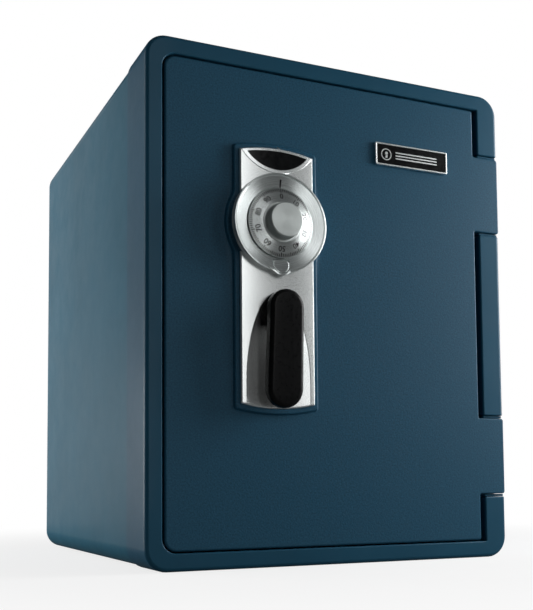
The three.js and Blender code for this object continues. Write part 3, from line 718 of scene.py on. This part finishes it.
# ---- door ----
def boss_outline(steps=150):
    """The plate's outline grown by a margin, widened by a circle round the dial."""
    margin, radius = 4.7, 47.4
    half = PLATE_HALF + margin
    low, high = PLATE_LOW[2] + ARCH - margin, PLATE_HIGH[2] - ARCH + margin
    corner = 3.0

    def half_width(z):
        inside = radius * radius - (z - DIAL_Z) ** 2
        round_part = math.sqrt(inside) if inside > 0 else 0
        gap = round_part - half
        return half + math.sqrt(gap * gap + 1.0) / 2 + gap / 2 if gap > -6 else half

    heights = [low + corner + (high - low - 2 * corner) * k / steps for k in range(steps + 1)]
    left, right = LOCK_X - half + corner, LOCK_X + half - corner
    bottom = arc_through((left, low), (LOCK_X, low - ARCH), (right, low), 18)
    top = arc_through((right, high), (LOCK_X, high + ARCH), (left, high), 18)

    def turn(cx, cz, start):
        return arc(cx, cz, corner, start, math.pi / 2, 6)[1:-1]

    right_side = [(LOCK_X + half_width(z), z) for z in heights]
    left_side = [(LOCK_X - half_width(z), z) for z in reversed(heights)]
    return (
        bottom + turn(right, low + corner, -math.pi / 2) + right_side
        + turn(right, high - corner, 0) + top
        + turn(left, high - corner, math.pi / 2) + left_side
        + turn(left, low + corner, math.pi)
    )


def door_skin():
    b = Builder()
    left, right, low, high = DOOR["left"], DOOR["right"], DOOR["low"], DOOR["high"]
    wide, small, root = 10.5, 2.6, 1.6
    side, slot = 1.0, 0.7
    sides = [(left, low, wide, side), (right, low, small, side)]
    for ear_low, ear_high in EARS:
        sides += [(right, ear_low, root, slot), (BODY_X, ear_low, small, side)]
        sides += [(BODY_X, ear_high, small, slot), (right, ear_high, root, side)]
    sides += [(right, high, small, side), (left, high, wide, side)]
    loops = b.edged(sides, 1.9, HINGE_DEPTH)
    boss = boss_outline()
    foot = b.flat(inset(boss, -1.6), 0)
    rise = [b.flat(inset(boss, -0.5), -0.35), b.flat(boss, -1.2)]
    for inwards, down in quarter(5)[1:]:
        rise.append(b.flat(inset(boss, 1.7 * inwards), (BOSS - 1.2) * down - BOSS))
    b.chain([foot] + rise)
    b.ring(loops[-1], foot)
    b.cap(loops[0], rise[-1])
    slab = rect(left, low, right, high, [wide, small, small, wide], 7)
    thick = DOOR["thick"]
    b.solid([b.flat(slab, HINGE_DEPTH - 4), b.flat(slab, thick - 1), b.flat(inset(slab, 1), thick)])
    make("door_face", b.bm, "door", DOOR_PAINT, ["door_skin"])


def hinge_knuckles():
    """The round backs of the two hinge ears, with softened ends."""
    b = Builder()
    reach = BODY_X - HINGE_X
    inner, front = DOOR["right"] - 2, HINGE_DEPTH - 3
    base = [(BODY_X, front), *arc(HINGE_X, HINGE_DEPTH, reach, 0, math.pi / 2, 20)]
    base += [(inner, HINGE_DEPTH + reach), (inner, front)]
    cx, cd = HINGE_X - 6, HINGE_DEPTH + 2

    def towards_middle(step):
        """The knuckle's outline with every point moved by step towards (cx, cd)."""
        scales = [1 - step / math.hypot(x - cx, d - cd) for x, d in base]
        return [(cx + (x - cx) * s, cd + (d - cd) * s) for (x, d), s in zip(base, scales)]

    ends = ((1.2, 0.02), (0.35, 0.35), (0, 1.2))
    for low, high in EARS:
        rings = [b.level(towards_middle(step), low + rise) for step, rise in ends]
        rings += [b.level(towards_middle(step), high - rise) for step, rise in reversed(ends)]
        b.solid(rings)
    make("hinge_knuckles", b.bm, "door", DOOR_PAINT)


def hinge_washers():
    b = Builder()
    for low, high in EARS:
        for z0, z1 in ((low - 0.3, low + 0.6), (high - 0.6, high + 0.3)):
            section = ((4.6, z0), (5.8, z0), (6.1, z0 + 0.3), (6.1, z1 - 0.3), (5.8, z1), (4.6, z1))
            b.hoop([b.level(circle(HINGE_X, HINGE_DEPTH, radius, 40), z) for radius, z in section])
    make("hinge_washers", b.bm, "door", DARK_NYLON, ["hinge_bush_lower", "hinge_bush_upper"])


def badge():
    low, high = span("badge_frame")
    b = Builder()
    x0, z0, x1, z1 = low[0], low[2], high[0], high[2]
    rim, corner = 1.5, 1.6

    def outline(shrink):
        return rect(x0 + shrink, z0 + shrink, x1 - shrink, z1 - shrink, max(0.3, corner - shrink), 6)

    b.solid([b.flat(outline(shrink), depth) for shrink, depth in (
        (0, -0.02), (0, -2.5), (0.12, -2.85), (0.45, -3.05),
        (rim - 0.2, -3.05), (rim, -2.9), (rim + 0.15, -1.6),
    )])
    make("badge_rim", b.bm, "door", SATIN, ["badge_frame"], sharp=40)
    field = Builder()
    field.solid([field.flat(outline(shrink), depth) for shrink, depth in (
        (rim + 0.25, -1.65), (rim + 0.25, -2.1), (rim + 0.33, -2.2), (rim + 0.5, -2.25),
    )])
    make("badge_field", field.bm, "door", BLACK, ["badge_face"], sharp=30)
    badge_mark(x0 + 12.0, (z0 + z1) / 2)


def badge_mark(cx, cz):
    """A plain keyhole in a ring, and three thin lines: no letters."""
    b = Builder()
    face, proud = -2.2, -2.42
    outer, inner = circle(cx, cz, 5.6, 40), circle(cx, cz, 4.7, 40)
    b.hoop([b.flat(outer, face), b.flat(outer, proud), b.flat(inner, proud), b.flat(inner, face)])
    b.pillow(circle(cx, cz + 1.1, 1.5, 24), face, proud, 0.1, 2)
    low, high = cz - 3.2, cz + 0.6
    slot = [(cx - 1.2, low, 0.3), (cx + 1.2, low, 0.3), (cx + 0.5, high, 0.2), (cx - 0.5, high, 0.2)]
    b.pillow(rounded(slot, 3), face, proud, 0.1, 2)
    for row in (2.8, 0, -2.8):
        b.pillow(rect(cx + 10, cz + row - 0.65, cx + 56, cz + row + 0.65, 0.5, 4), face, proud, 0.1, 2)
    make("badge_mark", b.bm, "door", SATIN)


# ---- lock ----
PLATE_EDGE, PLATE_MIDDLE = 6.3, 7.7


def plate_proud(x):
    u = (x - LOCK_X) / PLATE_HALF
    return PLATE_MIDDLE - (PLATE_MIDDLE - PLATE_EDGE) * u * u


def scoop_half(z):
    """Half the width of the hollow behind the lever at height z; zero above its top."""
    spring, rise, widest = 160.0, 79.5, 30.8
    if z <= spring:
        return widest
    t = (z - spring) / rise
    return widest * math.sqrt(max(0.0, 1 - t * t)) if t < 1 else 0.0


def lock_plate():
    b = Builder()
    edge = 1.5
    left, right = LOCK_X - PLATE_HALF + edge, LOCK_X + PLATE_HALF - edge
    low, high = PLATE_LOW[2] + ARCH + edge, PLATE_HIGH[2] - ARCH - edge
    rows, side, across = 190, 9, 16
    apex = 239.5

    def row_z(v):
        return low + v * (high - low)

    def z_at(x, v):
        u = (x - LOCK_X) / PLATE_HALF
        bulge = ARCH * (1 - u * u)
        return low - bulge + v * (high - low + 2 * bulge)

    levels = sorted({0.0, 1.0, *[k / rows for k in range(rows + 1)], (apex - low) / (high - low)})
    grid = []
    for v in levels:
        half = scoop_half(row_z(v))
        half = half if half > 0.4 else 0.0
        west = [left + (LOCK_X - half - left) * k / side for k in range(side + 1)]
        rim = 0.35 if half else 0.0
        floor_half = max(half - rim, 0.0)
        hollow = [LOCK_X - floor_half + 2 * floor_half * k / across for k in range(across + 1)]
        east = [LOCK_X + half + (right - LOCK_X - half) * k / side for k in range(side + 1)]
        points = [(x, -plate_proud(x), z_at(x, v)) for x in west]
        for x in hollow:
            t = abs(x - LOCK_X) / floor_half if floor_half > 1e-6 else 1
            top = plate_proud(LOCK_X + half)
            drop = min(1.0, half / 10) * (0.7 + 2.3 * (1 - t ** 1.7))
            points.append((x, -(top - drop), z_at(x, v)))
        points += [(x, -plate_proud(x), z_at(x, v)) for x in east]
        grid.append(b.loop(points))
    b.chain(grid, closed=False)
    outer = grid[0] + [row[-1] for row in grid[1:-1]] + grid[-1][::-1] + [row[0] for row in grid[-2:0:-1]]
    outline = [(v.co.x / MM, v.co.z / MM) for v in outer]
    depths = [v.co.y / MM - FRONT for v in outer]
    previous = outer
    for grow, fall in ((0.3, 0.05), (0.9, 0.5), (1.25, 0.85), (1.5, 1.4)):
        ring = b.loop([(x, d + fall, z) for (x, z), d in zip(inset(outline, -grow), depths)])
        b.bridge(previous, ring)
        previous = ring
    base = b.loop([(x, -BOSS, z) for x, z in inset(outline, -edge)])
    b.bridge(previous, base)
    b.cap(base)
    bmesh.ops.remove_doubles(b.bm, verts=b.bm.verts, dist=1e-7)
    bmesh.ops.dissolve_degenerate(b.bm, dist=1e-7, edges=b.bm.edges)
    make("lock_plate_face", b.bm, "door", SATIN, ["lock_plate"], sharp=22)


def lens_arc(half, tip, through):
    """The arc between a lens's tips, from left to right, through a height at its middle."""
    return arc_through((LOCK_X - half, tip), (LOCK_X, through), (LOCK_X + half, tip), 28)


def lens_outline(half, tip, top, bottom):
    return lens_arc(half, tip, bottom)[:-1] + lens_arc(half, tip, top)[:0:-1]


def crescent_window():
    outer = lens_outline(34.0, 362.3, 366.2, 344.2)
    shoulder = lens_outline(33.5, 362.3, 365.9, 344.6)
    rim = lens_outline(29.2, 361.35, 364.3, 347.1)
    inner = lens_outline(28.6, 361.2, 364.0, 347.5)
    section = ((outer, -0.3), (outer, 0.1), (shoulder, 0.42), (rim, 0.5), (inner, 0.25), (inner, -0.3))
    b = Builder()
    b.hoop([b.loop([(x, -plate_proud(x) - up, z) for x, z in outline]) for outline, up in section])
    make("window_bezel", b.bm, "door", SATIN, ["window_trim"], sharp=25)
    sheet = Builder()
    ends = list(zip(lens_arc(28.7, 361.2, 347.4), lens_arc(28.7, 361.2, 364.1)))
    rows = []
    for k in range(9):
        points = [(x, -plate_proud(x) - 0.1, z0 + (z1 - z0) * k / 8) for (x, z0), (_, z1) in ends]
        rows.append(sheet.loop(points))
    sheet.chain(rows, closed=False)
    bmesh.ops.remove_doubles(sheet.bm, verts=sheet.bm.verts, dist=1e-7)
    glass = make("window_glass", sheet.bm, "door", BLACK, ["window_insert"], weighted=False)
    thicken(glass, 0.4)


RING_OUTER, RING_INNER, RING_RIM = 43.9, 31.4, 41.6
RING_PROUD, RING_BEVEL = 14.6, 11.9
BEVEL_SLOPE = (RING_PROUD - 0.5 - RING_BEVEL) / (RING_RIM - RING_INNER)
KEY_BELOW = DIAL_Z - KEY_Z
TAB_RADIUS = 10.0


def on_bevel(u, v, out):
    """A place on the dial ring's sloping face by the key lock: u across, v up the slope, out from it."""
    tilt = math.atan(BEVEL_SLOPE)
    proud = RING_BEVEL + (KEY_BELOW - RING_INNER) * BEVEL_SLOPE
    return (
        LOCK_X + u,
        -proud - out * math.cos(tilt) + v * math.sin(tilt),
        KEY_Z + out * math.sin(tilt) + v * math.cos(tilt),
    )


def cover_outline(radius, flat, corner):
    """A half circle below and a flat top with rounded corners, about the key's axis."""
    out = arc(0, 0, radius, math.pi, math.pi, 14)
    for cx, start in ((radius - corner, 0), (corner - radius, math.pi / 2)):
        out += arc(cx, flat - corner, corner, start, math.pi / 2, 5)
    return out


def dial_ring():
    b = Builder()
    profile = [(RING_INNER, -3.6), (RING_INNER, -RING_BEVEL + 0.25), (RING_INNER + 0.25, -RING_BEVEL)]
    for k in range(1, 9):
        r = RING_INNER + 0.25 + (RING_RIM - RING_INNER - 0.25) * k / 8
        profile.append((r, -RING_BEVEL - (r - RING_INNER) * BEVEL_SLOPE))
    profile += [
        (RING_RIM + 0.15, -RING_PROUD + 0.2), (RING_RIM + 0.45, -RING_PROUD), (RING_OUTER - 0.7, -RING_PROUD),
        (RING_OUTER - 0.2, -RING_PROUD + 0.2), (RING_OUTER, -RING_PROUD + 0.7), (RING_OUTER, -12.9),
    ]
    for k in range(4):
        start = -12.6 + k * 1.25
        profile += [(RING_OUTER - 0.35, start), (RING_OUTER - 0.35, start + 0.25)]
        profile += [(RING_OUTER, start + 0.5), (RING_OUTER, start + 0.95)]
    profile.append((RING_OUTER, -3.6))

    def shift(index, radius, depth, angle):
        off = wrapped(angle + math.pi / 2)
        across = KEY_BELOW * math.sin(off)
        if abs(across) >= TAB_RADIUS or math.cos(off) < 0 or radius < RING_INNER + 3:
            return radius, depth
        tab = KEY_BELOW * math.cos(off) + math.sqrt(TAB_RADIUS ** 2 - across ** 2)
        gap = tab - RING_OUTER
        extra = (gap + math.sqrt(gap * gap + 0.8)) / 2
        share = min(1.0, (radius - RING_INNER - 3) / (RING_RIM - RING_INNER - 3))
        lift = extra * share * BEVEL_SLOPE if depth <= -RING_BEVEL else 0
        return radius + extra * share, depth - lift

    b.lathe(profile, (LOCK_X, DIAL_Z), 240, closed=True, shift=shift)
    pocket = Builder()
    outline = cover_outline(8.0, 4.7, 0.9)
    pocket.solid([pocket.loop([on_bevel(u, v, out) for u, v in outline]) for out in (-1.8, 3.0)])
    bored = cut_from(b.bm, pocket.bm)
    bore = Builder()
    bore.lathe([(4.9, -20), (4.9, 0)], (LOCK_X, KEY_Z), 40)
    bored = cut_from(bored, bore.bm)
    make("dial_ring_turned", bored, "door", RING_METAL, ["dial_ring"], sharp=24)
    pointer = Builder()
    outline = [(-0.95, 38.4), (-0.65, 31.6), (0.65, 31.6), (0.95, 38.4)]
    above = RING_BEVEL + 0.03
    points = [(LOCK_X + x, -(above + (r - RING_INNER) * BEVEL_SLOPE), DIAL_Z + r) for x, r in outline]
    pointer.cap(pointer.loop(points))
    thicken(make("pointer_line", pointer.bm, "door", INK, weighted=False), 0.02)


def key_cover():
    b = Builder()
    outline = cover_outline(7.55, 4.2, 2.2)
    section = [(0.5, -1.2), (0.12, -0.85), (0.0, -0.6), (0.0, -0.2), (0.12, -0.02)]
    section += [(0.4, 0.1), (0.75, 0.1), (1.0, 0.02), (1.6, 0.02)]
    b.solid([b.loop([on_bevel(u, v, out) for u, v in inset(outline, shrink)]) for shrink, out in section])
    make("key_cover_flap", b.bm, "key_cover_body", RING_METAL, ["key_cover"], sharp=24)


FACE_RADIUS, FACE_EDGE, FACE_FLAT, FACE_BACK = 30.8, 13.1, 19.0, 6.2
FACE_SLOPE = 0.25


def face_proud(radius):
    """How far the dial's cone stands proud at a radius: it rises from its edge to the knob."""
    return FACE_EDGE + (FACE_RADIUS - max(radius, FACE_FLAT)) * FACE_SLOPE


def dial():
    radius = FACE_RADIUS
    b = Builder()
    profile = [(radius - 0.3, -FACE_BACK), (radius, -FACE_BACK - 0.3), (radius, -FACE_EDGE + 0.3)]
    profile += [(r, -face_proud(r)) for r in (radius - 0.3, 28.0, 24.0, 20.5, FACE_FLAT, 17.0, 4.0)]
    b.lathe(profile, (LOCK_X, DIAL_Z), 144)
    make("dial_face", b.bm, "dial", DISC_METAL, ["dial_disc"], sharp=24)
    marks = Builder()
    for i in range(100):
        long, wide = (3.8, 1.0) if i % 10 == 0 else (3.4, 0.85) if i % 5 == 0 else (2.8, 0.85)
        a = 2 * math.pi * i / 100
        points = []
        far, near = radius - 0.5, radius - 0.5 - long
        for side, r in ((-1, far), (1, far), (1, near), (-1, near)):
            x = r * math.sin(a) + side * wide / 2 * math.cos(a)
            z = r * math.cos(a) - side * wide / 2 * math.sin(a)
            points.append((LOCK_X + x, -face_proud(r) - 0.04, DIAL_Z + z))
        marks.cap(marks.loop(points))
    figures(marks, 23.0, 5.1)
    thicken(make("dial_marks", marks.bm, "dial", INK, weighted=False), 0.02)


def figures(marks, radius, size):
    """The dial's numbers, 0 to 90, their tops outwards."""
    for i in range(10):
        curve = bpy.data.curves.new("figure", "FONT")
        curve.body = str(i * 10)
        curve.size = size * MM * 1.32
        curve.align_x, curve.align_y = "CENTER", "CENTER"
        curve.resolution_u = 3
        curve.offset = 0.00011
        holder = bpy.data.objects.new("figure", curve)
        bpy.context.scene.collection.objects.link(holder)
        bpy.context.view_layer.update()
        flat = bpy.data.meshes.new_from_object(holder.evaluated_get(bpy.context.evaluated_depsgraph_get()))
        tilt = Matrix.Rotation(math.pi / 2 - math.atan(FACE_SLOPE), 4, "X")
        spin = Matrix.Rotation(2 * math.pi * i / 10, 4, "Y")
        centre = Matrix.Translation(at(LOCK_X, -face_proud(radius) - 0.06, DIAL_Z))
        outward = Matrix.Translation(Vector((0, 0, radius * MM)))
        flat.transform(centre @ spin @ outward @ tilt)
        marks.bm.from_mesh(flat)
        bpy.data.objects.remove(holder)
        bpy.data.curves.remove(curve)
        bpy.data.meshes.remove(flat)


def knob():
    b = Builder()
    base, top, count = face_proud(0), 26.9, 72
    profile = [(17.9, -base + 0.3), (18.0, -base - 0.2), (17.8, -base - 0.5)]
    profile += [(17.4, -base - 0.55), (16.7, -base - 0.35), (16.2, -base - 0.6)]
    knurl_start = len(profile)
    profile += [(15.9, -base - 1.0), (15.8, -base - 1.4), (15.65, -top + 2.4), (15.6, -top + 1.9)]
    knurl_end = len(profile)
    profile += [(15.5, -top + 1.4), (15.3, -top + 0.7), (14.6, -top + 0.12)]
    profile += [(14.2, -top), (12.5, -top), (2.0, -top)]

    def shift(index, radius, depth, angle):
        if not knurl_start + 1 <= index < knurl_end:
            return radius, depth
        wave = abs(((angle * count / (2 * math.pi)) % 1.0) * 2 - 1)
        return radius - 0.55 * (1 - wave), depth

    b.lathe(profile, (LOCK_X, DIAL_Z), count * 4, shift=shift)
    make("dial_knob_turned", b.bm, "dial", KNOB_METAL, ["dial_knob"], sharp=50)


# ---- lever ----
def handle():
    top_z, top_r = LEVER_Z, 15.6
    low_z, low_r = 152.9, 16.4
    shares = [k / 12 for k in range(1, 12)]
    flank = [(low_r + (top_r - low_r) * t, low_z + (top_z - low_z) * t) for t in shares]
    outline = arc(LOCK_X, low_z, low_r, math.pi, math.pi, 22) + [(LOCK_X + x, z) for x, z in flank]
    outline += arc(LOCK_X, top_z, top_r, 0, math.pi, 22) + [(LOCK_X - x, z) for x, z in reversed(flank)]
    bottom = low_z - low_r
    foot_front, front_rise, foot_back, neck_back = 22.0, 5.7, 11.7, 15.4
    neck = LEVER_Z - 15.5

    def front(z):
        t = max(0.0, min(1.0, (z - bottom) / (LEVER_Z - 5 - bottom)))
        return foot_front + front_rise * t

    def back(z):
        if z > neck:
            return neck_back
        return foot_back + (neck_back - foot_back) * ((z - bottom) / (neck - bottom)) ** 2.2

    b = Builder()
    loops = []
    for shrink, share in ((5.0, 0.0), (1.2, 0.0), (0.35, 0.1), (0.0, 0.24)):
        points = inset(outline, shrink)
        loops.append(b.loop([(x, -(back(z) + (front(z) - back(z)) * share), z) for x, z in points]))
    fillet = 4.2
    for inwards, down in quarter(7):
        points = inset(outline, fillet * inwards)
        loops.append(b.loop([(x, -(front(z) - fillet * 0.8 * down), z) for x, z in points]))
    for shrink, rise in ((7.5, 0.14), (10.5, 0.22), (12.5, 0.25)):
        loops.append(b.loop([(x, -(front(z) + rise), z) for x, z in inset(outline, shrink)]))
    b.solid(loops)
    make("lever_grip", b.bm, "lever", HANDLE_BLACK, ["lever_handle"], sharp=40)
    collar = Builder()
    profile = [(13.6, -1.0), (14.5, -1.6), (14.5, -8.6)]
    profile += [(14.2, -9.1), (13.7, -9.3), (13.4, -9.6), (13.4, -15.8)]
    collar.lathe(profile, (LOCK_X, LEVER_Z), 72)
    make("lever_collar", collar.bm, "lever", HANDLE_BLACK, ["lever_hub"], sharp=30)


# ---- inside ----
def bolts():
    for i in range(1, 5):
        node = f"locking_bolt_{i}"
        low, high = span(node)
        _, depth, z = middle(node)
        radius = (high[2] - low[2]) / 2
        tip = ((0, 1.6), (0.25, 1.2), (1.3, 0.15), (1.8, 0))
        section = [(low[0] + along, radius - less) for along, less in tip] + [(high[0], radius)]
        b = Builder()
        b.solid([b.upright(circle(depth, z, r, 48), x) for x, r in section])
        make(f"bolt_turned_{i}", b.bm, "bolts", STEEL, [node])


def screw_heads():
    """Pan heads with a cross recess, in place of the plain CAD screws of the door's back panel."""
    for corner in ("lower_left", "lower_right", "upper_left", "upper_right"):
        node = f"panel_screw_{corner}"
        low, high = span(node)
        x, _, z = middle(node)
        top = high[1]
        b = Builder()
        head = ((3.5, 1.4), (3.6, 1.1), (3.3, 0.5), (2.5, 0.12), (1.5, 0))
        profile = [(1.5, low[1]), (1.5, top - 1.45)] + [(r, top - below) for r, below in head]
        b.lathe(profile, (x, z), 40)
        for long, wide in ((2.1, 0.42), (0.42, 2.1)):
            cross = Builder()
            cross.pillow(rect(x - long, z - wide, x + long, z + wide, 0.1, 2), top + 1, top - 0.9, 0.05, 1)
            b.bm = cut_from(b.bm, cross.bm)
        make(f"panel_screw_head_{corner}", b.bm, "door", STEEL, [node], sharp=25)


def soften(node, width_mm):
    """A small rounding along a carried-over CAD node's hard edges."""
    piece = NODES[node]
    bevel = piece.modifiers.new("soft_edges", "BEVEL")
    bevel.width, bevel.segments = width_mm * MM, 2
    bevel.limit_method, bevel.angle_limit = "ANGLE", math.radians(40)
    bevel.use_clamp_overlap = True


def dress_cad_nodes():
    """Gives every CAD node a detailed material, and rounds the moulded parts' edges a little."""
    looks = {
        "body_insulation": MINERAL, "door_insulation": MINERAL,
        "inner_liner": LINER, "shelf": LINER, "door_pan": PANEL, "door_back_panel": PANEL, "key_rack": PANEL,
        "strike_plate": STEEL_UPRIGHT, "door_plate": STEEL_UPRIGHT, "bolt_carrier": STEEL_UPRIGHT,
        "door_seal": RUBBER, "rear_foot_left": RUBBER, "rear_foot_right": RUBBER,
        "carrier_guide_outer": NYLON, "carrier_guide_inner": NYLON,
        "wheel_post": BRASS, "combination_wheel_2": BRASS, "combination_wheel_3": BRASS, "drive_wheel": BRASS,
        "key_plug": BRASS,
    }
    for name, node in NODES.items():
        node.data.materials.clear()
        node.data.materials.append(looks.get(name, STEEL))
    for name in ("inner_liner", "shelf", "key_rack", "door_back_panel"):
        soften(name, 0.8)


# ---- floor and light ----
def floor():
    b = Builder()
    size, level = 14.0, -0.0002
    corners = [(-size, -size), (size, -size), (size, size), (-size, size)]
    b.cap([b.bm.verts.new((x, y, level)) for x, y in corners])
    mesh = bpy.data.meshes.new("floor")
    b.bm.to_mesh(mesh)
    b.bm.free()
    plane = bpy.data.objects.new("floor", mesh)
    bpy.context.scene.collection.objects.link(plane)
    mesh.materials.append(floor_paper())


def softbox(name, azimuth, height, distance, width, tall, power, aim=(0, -0.1, 0.25)):
    """An area light in degrees, metres and watts; azimuth 0 faces the door, positive is to the right."""
    data = bpy.data.lights.new(name, "AREA")
    data.shape, data.size, data.size_y = "RECTANGLE", width, tall
    data.energy = power
    light = bpy.data.objects.new(name, data)
    bpy.context.scene.collection.objects.link(light)
    a = math.radians(azimuth)
    light.location = (distance * math.sin(a), -distance * math.cos(a), height)
    light.rotation_euler = (Vector(aim) - light.location).to_track_quat("-Z", "Y").to_euler()


def lighting():
    softbox("right_front", 62, 0.42, 0.8, 0.35, 0.5, 6.3)
    softbox("front_strip_left", 6, 0.7, 2.2, 0.46, 1.5, 4.2)
    softbox("front_strip_right", 44, 0.7, 2.2, 0.46, 1.5, 5.2)
    softbox("left_edge", -100, 0.5, 1.7, 0.1, 1.5, 5.0)
    softbox("left_side", -119, 0.55, 1.15, 0.7, 1.0, 3.6)
    softbox("left_low", -125, 0.1, 1.1, 0.5, 0.4, 5.4)
    softbox("left_behind", -159.4, 0.35, 0.854, 0.2, 1.0, 0.35)
    softbox("overhead", 10, 2.4, 0.5, 1.6, 1.6, 1.0, aim=(0, 0, 0.2))
    world = bpy.data.worlds.new("studio")
    bpy.context.scene.world = world
    world.use_nodes = True
    tree = world.node_tree
    tree.nodes.clear()
    out = tree.nodes.new("ShaderNodeOutputWorld")
    mix = tree.nodes.new("ShaderNodeMixShader")
    path = tree.nodes.new("ShaderNodeLightPath")
    tree.links.new(path.outputs["Is Camera Ray"], mix.inputs["Fac"])
    # first what lights the scene, then the white backdrop that the camera sees
    for slot, colour, strength in ((1, (0.93, 0.97, 1.0, 1), 0.06), (2, (1, 1, 1, 1), 1.0)):
        shade = tree.nodes.new("ShaderNodeBackground")
        shade.inputs["Color"].default_value = colour
        shade.inputs["Strength"].default_value = strength
        tree.links.new(shade.outputs[0], mix.inputs[slot])
    tree.links.new(mix.outputs[0], out.inputs["Surface"])
    bpy.context.scene.view_settings.view_transform = "Standard"


for build in (
    front_frame, hinge_bosses, jacket, door_skin, hinge_knuckles, hinge_washers, badge, lock_plate,
    crescent_window, dial_ring, key_cover, dial, knob, handle, bolts, screw_heads, dress_cad_nodes,
    floor, lighting,
):
    build()
